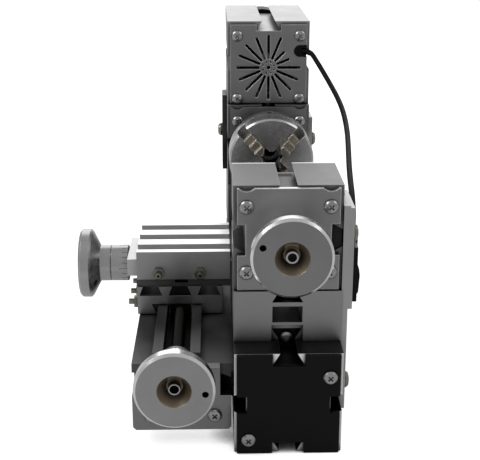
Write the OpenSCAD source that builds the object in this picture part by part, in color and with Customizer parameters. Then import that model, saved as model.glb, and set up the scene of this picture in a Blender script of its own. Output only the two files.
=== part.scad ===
// Mini metal lathe built from square aluminium housings joined by dovetail keys.
// X runs along the bed towards the tailstock, +Y is the rear, +Z is up, in millimetres.
// The origin is the middle of the dovetail groove in the underside of the bed.

/* [Housings and bed] */
// Side of the square bed and of the square housings
module_w = 50; // [48:0.5:56]
// Length of the bed
bed_len = 300; // [290:1:380]
// Thickness of the plastic caps on the bed
bed_cap_t = 2; // [1.5:0.1:4]
// Height of the raiser blocks
raiser_h = 25; // [24:0.5:35]
// Distance from the bed's right end to the tailstock's face
tail_inset = 15.8; // [12:0.1:20]
// Length of the tailstock over its covers
tail_len = 45; // [42:0.5:60]
// Distance from the bed's left end to the back of the headstock
head_inset = 3.5; // [2:0.1:10]
// Length of the headstock over its covers
head_len = 101.5; // [90:0.5:110]
// Length of the motor housing over its covers
motor_len = 95; // [80:0.5:98]
// Thickness of the covers on the housings
cover_t = 2.5; // [1.5:0.1:4]
// How far the covers stay inside the housing's edge
cover_inset = 1.7; // [1:0.1:2.5]

/* [Dovetail grooves] */
// Width of a housing groove at its mouth
groove_mouth = 8; // [6:0.1:9]
// Width of a housing groove at its root
groove_root = 14.4; // [12:0.1:16]
// Depth of a housing groove
groove_depth = 5.5; // [4:0.1:6.2]
// Root width of the grooves in the carriages
plate_root = 11.8; // [10:0.1:13]
// Depth of the grooves in the carriages
plate_depth = 5; // [3:0.1:6]
// Clearance between a key and its groove
key_gap = 0.15; // [0.05:0.05:0.3]

/* [Spindle and chuck] */
// Radius of the spindle
spindle_r = 7; // [6:0.1:9]
// Radius of the hole through the spindle
spindle_bore_r = 4; // [2:0.1:4.5]
// Outer radius of the spindle bearings
bearing_r = 14; // [12:0.1:16]
// Width of a spindle bearing
bearing_w = 8; // [5:0.5:12]
// Radius of the chuck
chuck_r = 24.7; // [22:0.1:25]
// Length of the front part of the chuck
chuck_front_l = 14; // [13.5:0.1:20]
// Width of the scroll ring
scroll_w = 7.8; // [6:0.1:12]
// Thickness of the back plate of the chuck
chuck_back_l = 3.8; // [3:0.1:6]
// Radius of the hole through the chuck
chuck_bore_r = 5; // [4:0.1:6]
// Gap between the headstock's face and the spindle flange
spindle_gap = 5.5; // [5:0.5:14]
// Thickness of the spindle flange
flange_l = 5; // [3:0.1:7]
// Width of a chuck jaw
jaw_w = 6; // [4:0.1:6.4]
// Radial length of a chuck jaw
jaw_l = 12.5; // [11:0.1:13]
// Distance from the axis to the jaws' tips as drawn
jaw_open = 7.5; // [7:0.1:8]
// Height of the jaws' highest step above the chuck's face
jaw_h = 9; // [6:0.1:12]

/* [Motor and belt] */
// Distance from the housing's side to the motor
motor_wall = 7; // [6.6:0.1:11]
// Length of the motor
motor_can_l = 57; // [40:0.5:70]
// Radius of the motor's shaft
motor_shaft_r = 2.5; // [1.5:0.1:3]
// Distance from the spindle pulley's rim under the belt to the housing's side
pulley_wall = 5; // [4.6:0.1:9]
// Radius of the motor pulley under the belt
small_pulley_r = 8; // [6:0.1:9]
// Thickness of the belt
belt_t = 1.5; // [1:0.1:2]
// Width of the belt
belt_w = 7; // [5:0.5:8]
// Wall of the belt cover
belt_cover_t = 1.5; // [1:0.1:2]
// Depth of the belt cover
belt_cover_d = 18; // [16:0.5:26]
// Number of vent slots in the motor cover
vent_count = 16; // [8:1:20]
// Width of a vent slot
vent_w = 1.7; // [1:0.1:2]
// Distance from the ends of the vent slots to the housing's side
vent_wall = 6; // [5.5:0.1:9]

/* [Handwheels] */
// Radius of the handwheels
wheel_r = 18.2; // [15:0.1:20]
// Width of a handwheel's rim
rim_w = 6.5; // [5:0.1:8]
// Length of the tapered back of a handwheel
taper_l = 4; // [2:0.1:6]
// Length of the graduated collar behind a handwheel
collar_l = 15; // [10:0.1:18]
// Radius of the graduated collar
collar_r = 9.6; // [8.8:0.1:11]
// Gap between a collar and its bracket
collar_gap = 0.3; // [0.2:0.1:0.6]
// Radius of the conical hollow in a handwheel's face
hollow_r = 7.8; // [6.5:0.1:9]
// Radius of the hole for the crank handle
handle_hole_r = 1.5; // [1:0.1:2]
// Distance from the axis to the crank handle's hole
handle_hole_at = 13.8; // [11.5:0.1:14.5]

/* [Slides] */
// Length of the long slide's base
slide_len = 194.5; // [185:0.5:200]
// Width of a slide base over its flange
slide_w = 47.8; // [46:0.1:49]
// Height of the long slide's base
slide_h = 30.5; // [28:0.1:33]
// Distance from the bed's right end to the long slide's base
slide_inset = 13.5; // [11:0.1:20]
// Thickness of the flange on the long slide's base
flange_t = 4.5; // [3:0.1:4.5]
// Height of the dovetail ways
way_h = 5.5; // [4.5:0.1:6.5]
// Width across the ways at the top
way_top = 22.4; // [21:0.1:24]
// Width across the ways at the foot
way_foot = 17; // [16:0.1:18]
// Width of the channel between the ways
way_channel = 12.8; // [12:0.1:13]
// Depth of the channel below the foot of the ways
channel_drop = 3; // [2.5:0.1:3.2]
// Offset of the long ways from the middle of their base
way_shift = 2.8; // [1:0.1:3]
// Thickness of the end brackets
bracket_t = 5; // [3:0.1:7]
// Width of an end bracket's upright
bracket_w = 35; // [30:0.5:38]
// Radius of the feed screws
screw_r = 3; // [2:0.1:3.2]
// Height of a feed screw above the foot of the ways
screw_rise = 1; // [0.8:0.1:1.4]
// Running clearance round the feed screws, spindle and pins
run_gap = 0.06; // [0.02:0.01:0.1]
// Clearance between the ways and a carriage's flanks
slide_gap = 0.12; // [0.05:0.01:0.3]
// Gap under and over the ways
way_gap = 0.4; // [0.2:0.1:0.8]
// Width of the long carriage
carriage_w = 44; // [42:0.1:46]
// Length of the long carriage
carriage_len = 48; // [46:0.5:49]
// Height of both carriages
carriage_h = 15; // [13.5:0.1:15]
// Spacing of the grooves in the long carriage
long_pitch = 15; // [14:0.1:15.5]
// Spacing of the grooves in the cross carriage
cross_pitch = 16; // [14:0.1:17]
// Distance from the bed's right end to the front of the long carriage
carriage_at = 72; // [71:0.1:76]
// Thickness of the cross slide's base plate
cross_plate_t = 3.8; // [3.5:0.1:4]
// Length of the cross slide's base
cross_len = 91; // [89:0.5:96]
// Length of the cross carriage
cross_carriage_len = 48; // [44:0.5:48]
// Thickness of the gib strips
gib_t = 3; // [2:0.1:3.5]
// Distance between the gib screws of the long carriage
gib_pitch = 15; // [12:0.5:18]

/* [Tailstock quill] */
// Radius of the quill
quill_r = 8; // [7:0.1:10]
// Length of the quill
quill_len = 45; // [42:0.5:50]
// Length of the quill that stands out as drawn
quill_out = 8; // [5:0.5:10]
// Radius of the quill's feed screw
quill_screw_r = 4; // [3.2:0.1:4.4]
// Length of the dead centre beyond the quill
center_out = 14; // [12:0.5:20]

/* [Straps and switch] */
// Width of the side straps
strap_w = 18; // [14:0.5:22]
// Thickness of the side straps
strap_t = 3; // [2:0.1:4]
// Width of the plate on the headstock's front side
front_plate_w = 20; // [12:0.5:30]
// Lower end of the straps above the table
strap_foot = 14; // [8:0.5:18]
// Upper end of the straps below the housings' tops
strap_drop = 9.5; // [6:0.1:12]
// Distance from the headstock's face to the middle of its strap
head_strap_at = 20; // [12:0.5:30]
// Distance from the headstock's face to the middle of the plate on its front side
front_plate_at = 48; // [32:0.5:70]
// Thickness of the switch plate
plate_t = 2; // [1:0.1:3]
// Width of the switch plate behind the switch
plate_side = 11.5; // [10:0.1:14]
// Lower end of the switch plate below the spindle's axis
plate_drop = 34.5; // [33:0.1:40]
// Distance from the tailstock's strap bolt down to the middle of the switch
switch_drop = 19; // [18.5:0.1:22]
// Distance from the middle of the tailstock's strap to the middle of the switch
switch_shift = 2; // [1.5:0.1:3]
// Width of the switch's bezel round the rocker's ends
bezel_end = 2.9; // [2:0.1:4]
// Width of the switch's bezel round the rocker's sides
bezel_side = 2; // [1.2:0.1:3]
// Radius of the strap bolts
bolt_r = 2.5; // [2:0.1:3]
// Length of the rocker
rocker_l = 20.8; // [18:0.1:22]
// Width of the rocker
rocker_w = 11; // [8:0.1:12]
// Tilt of the rocker to either side
rocker_tilt = 7; // [4:0.5:8]
// Diameter of the motor's cord
cord_d = 3; // [2.5:0.1:3.5]
// How far the cord stands out from the straight line between its ends
cord_bow = 16; // [10:0.5:30]

/* [Hidden] */
$fn = 48;

aluminium = [0.66, 0.66, 0.68];
dark_aluminium = [0.46, 0.46, 0.48];
black = [0.09, 0.09, 0.1];
steel = [0.78, 0.78, 0.8];
bronze = [0.62, 0.5, 0.3];

// Heights of the axes
bed_mid = module_w / 2;
raiser_mid = module_w + raiser_h / 2;
axis_z = module_w + raiser_h + module_w / 2;
motor_z = axis_z + module_w;

// Places along the bed
bed_right = bed_len / 2;
bed_left = -bed_len / 2;
tail_face = bed_right - tail_inset;
tail_back = tail_face - tail_len;
head_back = bed_left + head_inset;
head_face = head_back + head_len;
motor_face = head_back + motor_len;
flange_back = head_face + spindle_gap;
chuck_back = flange_back + flange_l;
chuck_face = chuck_back + chuck_back_l + scroll_w + chuck_front_l + 0.4;

// Screws of the covers: across and up from the middle of a housing
cover_screw_y = module_w / 2 - 6;
cover_screw_z = module_w / 2 - 9.4;
motor_r = module_w / 2 - motor_wall;
vent_r = module_w / 2 - vent_wall;
big_pulley_r = module_w / 2 - pulley_wall;
motor_mark_dz = -2.6;
motor_screw_z = module_w / 2 - 5.85;
screw_head_r = 3.24;
screw_head_h = 1.8;
screw_shank_r = 1.5;
screw_shank_l = 10;
flush_r = 2.9;
flush_h = 1.4;

// Long slide, in the plane across it
slide_y = -module_w / 2 - slide_w / 2;
way_y = slide_y - way_shift;
slide_top = bed_mid + slide_h / 2;
slide_bottom = bed_mid - slide_h / 2;
slide_right = bed_right - slide_inset;
slide_left = slide_right - slide_len;
long_screw_z = slide_top + screw_rise;
carriage_bottom = slide_top + way_gap;
carriage_top = carriage_bottom + carriage_h;
carriage_right = bed_right - carriage_at;
carriage_left = carriage_right - carriage_len;
cutout_h = way_h + way_gap;
bracket_face = slide_right + bracket_t;

// Cross slide, in the plane across it
cross_x = (carriage_right + carriage_left) / 2;
cross_foot = carriage_top + cross_plate_t;
cross_screw_z = cross_foot + screw_rise;
cross_bottom = cross_foot + way_gap - 0.1;
cross_top = cross_bottom + carriage_h;
cross_front = way_y - carriage_w / 2 - 0.3;
cross_rear = cross_front + cross_len;
cross_w = carriage_len - 2;
cross_bracket_face = cross_front - bracket_t;
gib_screw_rise = 3.9;
cross_gib_at = [11.2, 32.6];

// Straps, plate and switch
strap_top = axis_z + module_w / 2 - strap_drop;
tail_strap_x = tail_face - 1.2 - strap_w / 2;
head_strap_x = head_face - head_strap_at;
front_plate_x = head_face - front_plate_at;
bolt_head_r = 4.2;
bolt_head_h = 2.9;
strap_out = module_w / 2 + strap_t;
plate_out = strap_out + plate_t;
switch_z = axis_z - switch_drop;
bezel_w = rocker_w + 2 * bezel_side;
bezel_l = rocker_l + 2 * bezel_end;
bezel_t = 2.5;
switch_body_w = rocker_w + 1.4;
switch_body_l = rocker_l + 1.6;
switch_x = tail_strap_x - switch_shift;
plate_left = switch_x - bezel_w / 2 - plate_side;
plate_right = tail_strap_x + strap_w / 2;
gland_r = cord_d / 2 + 1.2;
gland_l = 8;
gland_at = [switch_x - bezel_w / 2 - gland_r - 0.1, plate_out + cord_d / 2 + 0.5,
            switch_z + bezel_l / 2 + 1.7];
notch_z = motor_z + 7.4;
notch_h = 7;
grommet_y = [module_w / 2 - 9.5, module_w / 2 - 5];

// The cord runs from the grommet in the motor's cover to the gland by the switch. Each row is the
// share of the way along, the share of the bow outwards, and the share of the way down.
cord_shares = [[0, 0, 0], [0.0006, 0.187, 0.0033], [0.0134, 0.365, 0.0244],
               [0.0376, 0.528, 0.0896], [0.0862, 0.7228, 0.1857], [0.1469, 0.8835, 0.2769],
               [0.2198, 0.9852, 0.355], [0.2987, 1.0197, 0.4267], [0.3837, 0.9685, 0.4919],
               [0.4748, 0.8564, 0.5472], [0.5659, 0.7068, 0.5977], [0.657, 0.5448, 0.645],
               [0.742, 0.3998, 0.6906], [0.8209, 0.2781, 0.7329], [0.8877, 0.1842, 0.7752],
               [0.9302, 0.1211, 0.8111], [0.969, 0.0607, 0.8599], [0.9885, 0.0212, 0.9055],
               [0.9976, 0.0018, 0.9511], [1, 0, 1]];
cord_start = [motor_face - 0.7, grommet_y[1], notch_z];
cord_route = [for (p = cord_shares) [cord_start[0] + p[0] * (gland_at[0] - cord_start[0]),
    cord_start[1] + p[0] * (gland_at[1] - cord_start[1]) + p[1] * cord_bow,
    cord_start[2] + p[2] * (gland_at[2] - cord_start[2])]];
cord_steps = 3;
cord_sides = 8;

// A round bar along X, and one along Y
module rod_x(x0, x1, r, y = 0, z = 0) {
    translate([x0, y, z]) rotate([0, 90, 0]) cylinder(r = r, h = x1 - x0);
}

module rod_y(y0, y1, r, x = 0, z = 0) {
    translate([x, y0, z]) rotate([-90, 0, 0]) cylinder(r = r, h = y1 - y0);
}

// An outline in Y and Z, drawn out along X
module along_x(x0, x1) {
    translate([x0, 0, 0]) rotate([90, 0, 90]) linear_extrude(x1 - x0) children();
}

// An outline in X and Z, drawn out along Y
module along_y(y0, y1) {
    translate([0, y1, 0]) rotate([90, 0, 0]) linear_extrude(y1 - y0) children();
}

// The outline of a dovetail groove that opens upwards at height 0
module groove_outline(root, depth, gap = 0) {
    slope = (root - groove_mouth) / 2 / depth;
    polygon([[-groove_mouth / 2 + gap, 1], [groove_mouth / 2 - gap, 1],
             [groove_mouth / 2 - gap, 0], [root / 2 - gap - slope * gap, -depth + gap],
             [-root / 2 + gap + slope * gap, -depth + gap], [-groove_mouth / 2 + gap, 0]]);
}

// A housing's outline with grooves on the sides that are named by their angles
module housing_outline(w, h, sides) {
    difference() {
        square([w, h], center = true);
        for (a = sides) {
            reach = (a % 180 == 0 ? h : w) / 2;
            rotate(a) translate([0, reach]) groove_outline(groove_root, groove_depth);
        }
    }
}

// The outline of a bow-tie key between two housings that meet at height 0
module key_outline() {
    half = groove_depth - key_gap;
    foot = groove_root / 2 - 2 * key_gap;
    waist = groove_mouth / 2 - key_gap;
    polygon([[-foot, half], [foot, half], [waist, 0], [foot, -half], [-foot, -half], [-waist, 0]]);
}

// A pan-head screw that points along -X, its head's underside at x = 0
module pan_screw() {
    rotate([0, 90, 0]) rotate_extrude() polygon([[0, -screw_shank_l], [screw_shank_r, -screw_shank_l],
        [screw_shank_r, 0], [screw_head_r, 0], [screw_head_r, screw_head_h * 0.45],
        [screw_head_r * 0.8, screw_head_h * 0.85], [screw_head_r * 0.4, screw_head_h],
        [0, screw_head_h]]);
}

// A long pan-head screw that holds the belt cover
module belt_cover_screw() {
    driven_screw();
    rod_x(-belt_cover_d - screw_shank_l, -1, screw_shank_r);
}

// A cross recess in the head of a pan-head screw
module driven_screw() {
    difference() {
        pan_screw();
        for (a = [45, 135]) {
            translate([screw_head_h - 0.5, 0, 0]) rotate([a, 0, 0])
                cube([2, 0.8, 3], center = true);
        }
    }
}

module at_corners(y, z_low, z_high) {
    for (s = [-1, 1]) {
        translate([0, s * y, z_low]) children();
        translate([0, s * y, z_high]) children();
    }
}

module bed_rail() {
    color(black) difference() {
        along_x(bed_left + bed_cap_t, bed_right - bed_cap_t) translate([0, bed_mid])
            housing_outline(module_w, module_w, [0, 90, 180, 270]);
        for (end = [-1, 1], p = bed_cap_holes(end)) {
            x0 = end > 0 ? bed_right - screw_shank_l - 0.2 : bed_left;
            rod_x(x0, x0 + screw_shank_l + 0.2, screw_shank_r + 0.05, p[0], p[1]);
        }
    }
}

function bed_cap_holes(end) = [[end * cover_screw_y, module_w - 11.1],
                               [-end * (cover_screw_y - 0.6), 7.2]];

module bed_end_caps() {
    notch_w = groove_root + 0.4;
    color(black) for (end = [-1, 1]) {
        x0 = end > 0 ? bed_right - bed_cap_t : bed_left;
        difference() {
            along_x(x0, x0 + bed_cap_t) difference() {
                translate([0, bed_mid]) square([module_w - 2.4, module_w - 0.4], center = true);
                for (a = [0, 180]) {
                    translate([0, bed_mid]) rotate(a)
                        translate([-notch_w / 2, module_w / 2 - groove_depth])
                        square([notch_w, groove_depth + 1]);
                }
                for (s = [-1, 1]) {
                    translate([s * module_w / 2, bed_mid])
                        square([2 * groove_depth + 0.8, groove_mouth + 0.4], center = true);
                }
            }
            for (p = bed_cap_holes(end)) {
                rod_x(x0 - 1, x0 + bed_cap_t + 1, screw_shank_r + 0.1, p[0], p[1]);
            }
        }
    }
}

// A raiser block with its window and the pocket that shows its key
module raiser(x0, x1) {
    window_h = raiser_h - 2 * groove_depth - 6;
    difference() {
        along_x(x0, x1) translate([0, raiser_mid]) difference() {
            housing_outline(module_w, raiser_h, [0, 180]);
            translate([0, 1]) square([groove_root - 0.4, window_h], center = true);
        }
        for (end = [x0 - 1, x1 - cover_t]) {
            translate([end, -groove_root / 2 - 0.2, module_w - 1])
                cube([cover_t + 1, groove_root + 0.4, groove_depth + 3.6]);
        }
    }
}

module tail_raiser() {
    color(aluminium) raiser(tail_back, tail_face);
}

module head_raiser() {
    color(aluminium) raiser(head_back, head_face);
}

key_end = 6;

module stack_keys() {
    color(black) {
        for (z = [module_w, module_w + raiser_h]) {
            stack_key(tail_back + key_end, tail_face - key_end, z);
            stack_key(head_back + key_end, head_face - key_end, z);
        }
        stack_key(head_back + key_end, motor_face - key_end, axis_z + module_w / 2);
    }
}

module stack_key(x0, x1, z) {
    difference() {
        along_x(x0, x1) translate([0, z]) key_outline();
        rod_x(x1 - screw_shank_l - 0.2, x1 + 1, screw_shank_r + 0.05, 0, z);
    }
}

// The key between the long slide and the bed: a dovetail tongue on a broad foot
slide_channel_d = 5;
slide_channel_mouth = 16;
slide_channel_root = 20;
slide_key_left = -25;
slide_key_right = bed_right - 25;

module slide_channel_outline(gap = 0) {
    polygon([[-1, -slide_channel_mouth / 2 + gap], [0, -slide_channel_mouth / 2 + gap],
             [slide_channel_d - gap, -slide_channel_root / 2 + 1.5 * gap],
             [slide_channel_d - gap, slide_channel_root / 2 - 1.5 * gap],
             [0, slide_channel_mouth / 2 - gap], [-1, slide_channel_mouth / 2 - gap]]);
}

module slide_key() {
    side = slide_y + slide_w / 2 - slide_lip;
    color([0.42, 0.38, 0.3]) along_x(slide_key_left, slide_key_right) {
        difference() {
            translate([side, bed_mid]) mirror([1, 0]) slide_channel_outline(key_gap);
            translate([side, 0]) square([10, 2 * module_w]);
        }
        translate([side, bed_mid - slide_channel_mouth / 2 + key_gap])
            square([slide_lip, slide_channel_mouth - 2 * key_gap]);
        translate([-module_w / 2, bed_mid]) rotate(90) difference() {
            groove_outline(groove_root, groove_depth, key_gap);
            translate([-module_w, 0]) square([2 * module_w, 10]);
        }
    }
}

slide_lip = 1.2;

// Outline of the dovetail ways, standing on height 0
module ways_outline() {
    difference() {
        polygon([[-way_foot / 2, -0.01], [-way_top / 2, way_h], [way_top / 2, way_h],
                 [way_foot / 2, -0.01]]);
        translate([-way_channel / 2, -1]) square([way_channel, way_h + 2]);
    }
}

// Hollow in the underside of a carriage that rides on the ways, its gib on the side `gib_side`
module ways_hollow(gib_side) {
    lean = (way_top - way_foot) / 2 / way_h;
    drop = way_gap + 1;
    foot = way_foot / 2 - lean * drop + slide_gap + way_gap * lean;
    head = foot + lean * (cutout_h + drop);
    side = gib_side > 0;
    polygon([[-foot - (side ? 0 : gib_t + slide_gap), -drop + way_gap],
             [-head - (side ? 0 : gib_t + slide_gap), cutout_h],
             [head + (side ? gib_t + slide_gap : 0), cutout_h],
             [foot + (side ? gib_t + slide_gap : 0), -drop + way_gap]]);
}

// Section of a gib strip that fills the hollow beside the ways
module gib_outline(gib_side) {
    lean = (way_top - way_foot) / 2 / way_h;
    foot = way_foot / 2 + slide_gap + lean * (way_gap + 0.1);
    head = foot + lean * (way_h - 0.2);
    mirror([gib_side > 0 ? 0 : 1, 0])
        polygon([[foot, way_gap + 0.1], [head, way_h + way_gap - 0.1],
                 [head + gib_t, way_h + way_gap - 0.1], [foot + gib_t, way_gap + 0.1]]);
}

module slide_base() {
    color(black) difference() {
        along_x(slide_left, slide_right) {
            difference() {
                union() {
                    translate([slide_y - slide_w / 2, slide_top - flange_t])
                        square([slide_w, flange_t]);
                    translate([slide_y - slide_w / 2 + slide_lip, slide_bottom])
                        square([slide_w - 2 * slide_lip, slide_h - flange_t + 0.01]);
                }
                translate([slide_y - slide_w / 2 + slide_lip, bed_mid]) slide_channel_outline();
                translate([slide_y + slide_w / 2 - slide_lip, bed_mid]) mirror([1, 0])
                    slide_channel_outline();
                translate([way_y - way_channel / 2, slide_top - channel_drop])
                    square([way_channel, channel_drop + 1]);
            }
            translate([way_y, slide_top]) ways_outline();
        }
        bracket_screw_holes();
    }
}

// The four screws of the long slide's brackets
bracket_screw_y = slide_w / 2 - 9;
bracket_screw_z = 6;

module bracket_screw_holes() {
    for (s = [-1, 1]) {
        for (x0 = [slide_left - bracket_t, slide_right - screw_shank_l]) {
            rod_x(x0, x0 + screw_shank_l + bracket_t, screw_shank_r + 0.05,
                  slide_y + s * bracket_screw_y, slide_bottom + bracket_screw_z);
        }
    }
}

lug_r = 8;

// How far the brackets' feet reach past the slide's base, to the front and below
foot_out = 1;
foot_drop = 1.5;

module slide_bracket(x0, lug) {
    foot_h = slide_h / 2 + 1;
    chamfer = 1.5;
    foot_w = slide_w - 2 * slide_lip;
    foot_left = slide_y - foot_w / 2 - foot_out;
    foot_bottom = slide_bottom - foot_drop;
    difference() {
        along_x(x0, x0 + bracket_t) {
            polygon([[foot_left + chamfer, foot_bottom],
                     [slide_y + foot_w / 2 - chamfer, foot_bottom],
                     [slide_y + foot_w / 2, foot_bottom + chamfer],
                     [slide_y + foot_w / 2, slide_bottom + foot_h],
                     [slide_y + bracket_w / 2, slide_bottom + foot_h],
                     [slide_y + bracket_w / 2, slide_top],
                     [slide_y - bracket_w / 2, slide_top],
                     [slide_y - bracket_w / 2, slide_bottom + foot_h],
                     [foot_left, slide_bottom + foot_h],
                     [foot_left, foot_bottom + chamfer]]);
            if (lug) {
                translate([way_y, long_screw_z]) circle(lug_r);
            }
        }
        rod_x(x0 - 1, x0 + bracket_t + 1, screw_r + run_gap, way_y, long_screw_z);
        bracket_screw_holes();
    }
}

module slide_brackets() {
    color(dark_aluminium) {
        slide_bracket(slide_right, true);
        slide_bracket(slide_left - bracket_t, false);
    }
}

module small_screws() {
    color(steel) {
        for (p = bed_cap_holes(1)) {
            translate([bed_right, p[0], p[1]]) driven_screw();
        }
        for (p = bed_cap_holes(-1)) {
            translate([bed_left, p[0], p[1]]) mirror([1, 0, 0]) driven_screw();
        }
        translate([tail_face, 0, axis_z])
            at_corners(cover_screw_y, -cover_screw_z, cover_screw_z) driven_screw();
        translate([head_face, 0, axis_z])
            at_corners(cover_screw_y, -cover_screw_z, cover_screw_z) driven_screw();
        translate([motor_face, 0, motor_z + motor_mark_dz])
            at_corners(cover_screw_y, -motor_screw_z, motor_screw_z) driven_screw();
        translate([tail_back, 0, axis_z]) mirror([1, 0, 0])
            at_corners(cover_screw_y, -cover_screw_z, cover_screw_z) driven_screw();
        translate([head_back, 0, axis_z])
            at_corners(cover_screw_y, -cover_screw_z, cover_screw_z) flush_screw();
        for (s = [-1, 1]) {
            translate([head_back, s * cover_screw_y, motor_z + motor_mark_dz + motor_screw_z])
                flush_screw();
            translate([head_back - belt_cover_d, s * cover_screw_y, belt_post_z])
                mirror([1, 0, 0]) belt_cover_screw();
        }
        for (z = [module_w, module_w + raiser_h]) {
            translate([tail_face - key_end, 0, z]) pan_screw();
            translate([head_face - key_end, 0, z]) pan_screw();
        }
        translate([motor_face - key_end, 0, axis_z + module_w / 2]) pan_screw();
        for (s = [-1, 1]) {
            translate([bracket_face, slide_y + s * bracket_screw_y, slide_bottom + bracket_screw_z])
                driven_screw();
            translate([slide_left - bracket_t, slide_y + s * bracket_screw_y,
                       slide_bottom + bracket_screw_z]) mirror([1, 0, 0]) driven_screw();
        }
    }
}

// A housing with a round hollow, and holes for the screws at both ends
module housing(x0, x1, z, bore, screws_z, mark = 0) {
    difference() {
        along_x(x0 + cover_t, x1 - cover_t) translate([0, z]) difference() {
            housing_outline(module_w, module_w, [0, 90, 180, 270]);
            circle(bore);
        }
        for (end = [x0, x1 - screw_shank_l - 0.2]) {
            translate([end, 0, z + mark]) at_corners(cover_screw_y, -screws_z, screws_z)
                rod_x(0, screw_shank_l + 0.2, screw_shank_r + 0.05);
        }
    }
}

// A cover plate with notches at the grooves and, where asked, hollows over its top screws
module cover_plate(x0, z, hole, screws_z, scalloped, mark = 0, flush = []) {
    notches = scalloped ? [90, 180, 270] : [0, 90, 180, 270];
    w = module_w - 2 * cover_inset;
    notch_w = groove_root + 0.4;
    difference() {
        along_x(x0, x0 + cover_t) translate([0, z]) difference() {
            square([w, scalloped ? w + cover_inset : w], center = true);
            for (a = notches) {
                rotate(a) translate([-notch_w / 2, module_w / 2 - groove_depth])
                    square([notch_w, groove_depth + 2]);
            }
            if (scalloped) {
                for (s = [-1, 1]) {
                    translate([s * cover_screw_y, module_w / 2 + 2.6])
                        circle(screw_head_r + 1.66);
                }
            }
            circle(hole);
        }
        translate([x0 - 1, 0, z + mark]) at_corners(cover_screw_y, -screws_z, screws_z)
            rod_x(0, cover_t + 2, screw_shank_r + 0.1);
        for (dz = flush) {
            for (s = [-1, 1]) {
                translate([x0, s * cover_screw_y, z + mark + dz]) rotate([0, 90, 0])
                    rotate_extrude() polygon([[0, -0.1], [flush_r + 0.1, -0.1], [flush_r + 0.1, 0],
                        [screw_shank_r + 0.1, flush_h], [0, flush_h]]);
            }
        }
    }
}

module tailstock_housing() {
    color(aluminium) housing(tail_back, tail_face, axis_z, quill_r + run_gap, cover_screw_z);
}

module tailstock_front_cover() {
    color(aluminium) cover_plate(tail_face - cover_t, axis_z, quill_screw_r + run_gap,
                                 cover_screw_z, true);
}

module headstock_housing() {
    color(dark_aluminium) housing(head_back, head_face, axis_z, bearing_r + 0.02, cover_screw_z);
}

module headstock_front_cover() {
    color(dark_aluminium) cover_plate(head_face - cover_t, axis_z, spindle_r + 0.5,
                                      cover_screw_z, true);
}

module rear_covers() {
    color(dark_aluminium) {
        cover_plate(tail_back, axis_z, quill_r + 0.2, cover_screw_z, false);
        cover_plate(head_back, axis_z, spindle_r + 0.5, cover_screw_z, false, 0,
                    [-cover_screw_z, cover_screw_z]);
        cover_plate(head_back, motor_z, motor_boss_r + 0.1, motor_screw_z, false, motor_mark_dz,
                    [motor_screw_z]);
    }
}

module ring_x(x0, x1, outer, inner, z) {
    translate([x0, 0, z]) rotate([0, 90, 0]) difference() {
        cylinder(r = outer, h = x1 - x0);
        translate([0, 0, -1]) cylinder(r = inner, h = x1 - x0 + 2);
    }
}

module spindle_bearings() {
    color(steel) {
        ring_x(head_face - cover_t - bearing_w, head_face - cover_t, bearing_r,
               spindle_r + run_gap, axis_z);
        ring_x(head_back + cover_t, head_back + cover_t + bearing_w, bearing_r,
               spindle_r + run_gap, axis_z);
    }
}

// The belt runs in the middle of its cover
belt_x = head_back - belt_cover_d / 2 + belt_cover_t / 2;
pulley_w = belt_w + 1;
pulley_lip = 1.3;
spindle_end = belt_x - pulley_w / 2 - 3;

module spindle() {
    color(steel) translate([0, 0, axis_z]) rotate([0, 90, 0]) rotate_extrude()
        polygon([[spindle_bore_r, spindle_end], [spindle_r - 0.6, spindle_end],
                 [spindle_r, spindle_end + 0.6], [spindle_r, flange_back],
                 [chuck_core_r + 2, flange_back], [chuck_core_r + 2.6, flange_back + 0.6],
                 [chuck_core_r + 2.6, chuck_back], [spindle_bore_r, chuck_back]]);
}

// A flanged pulley with a hub, its bore on the shaft
module pulley(r, shaft, z, hub_r) {
    h = pulley_w / 2;
    translate([belt_x, 0, z]) rotate([0, 90, 0]) rotate_extrude()
        polygon([[shaft, -h - 2], [r + pulley_lip, -h - 1], [r + pulley_lip, -h - 0.3], [r, -h],
                 [r, h], [r + pulley_lip, h + 0.3], [r + pulley_lip, h + 1], [hub_r, h + 1],
                 [hub_r, h + 2], [shaft, h + 2]]);
}

module spindle_pulley() {
    color(dark_aluminium) pulley(big_pulley_r, spindle_r, axis_z, spindle_r + 3);
}

chuck_core_r = 14;

module chuck_body() {
    front = chuck_face - chuck_front_l;
    color(aluminium) difference() {
        translate([0, 0, axis_z]) rotate([0, 90, 0]) rotate_extrude($fn = 96)
            polygon([[chuck_bore_r, chuck_back], [chuck_r - 5, chuck_back],
                     [chuck_r - 5, chuck_back + chuck_back_l],
                     [chuck_core_r, chuck_back + chuck_back_l], [chuck_core_r, front],
                     [chuck_r - 0.6, front], [chuck_r, front + 0.6], [chuck_r, chuck_face - 1],
                     [chuck_r - 1, chuck_face], [chuck_bore_r + 0.6, chuck_face],
                     [chuck_bore_r, chuck_face - 0.6]]);
        for (k = [0:3]) {
            jaw_place(k) {
                cube_from([chuck_face - jaw_depth - slide_gap, -jaw_w / 2 - slide_gap, 0],
                          [chuck_face + 1, jaw_w / 2 + slide_gap, chuck_r + 1]);
                cube_from([chuck_face - jaw_rib_x - 1 - slide_gap, -jaw_w / 2 - 1 - slide_gap, 0],
                          [chuck_face - jaw_rib_x + 1 + slide_gap, jaw_w / 2 + 1 + slide_gap,
                           chuck_r + 1]);
            }
        }
    }
}

module cube_from(a, b) {
    translate(a) cube(b - a);
}

jaw_depth = 12;
jaw_rib_x = 7;

// Places a jaw, drawn pointing up from the axis, at its corner of the chuck
module jaw_place(k) {
    translate([0, 0, axis_z]) rotate([45 + 90 * k, 0, 0]) children();
}

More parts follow.
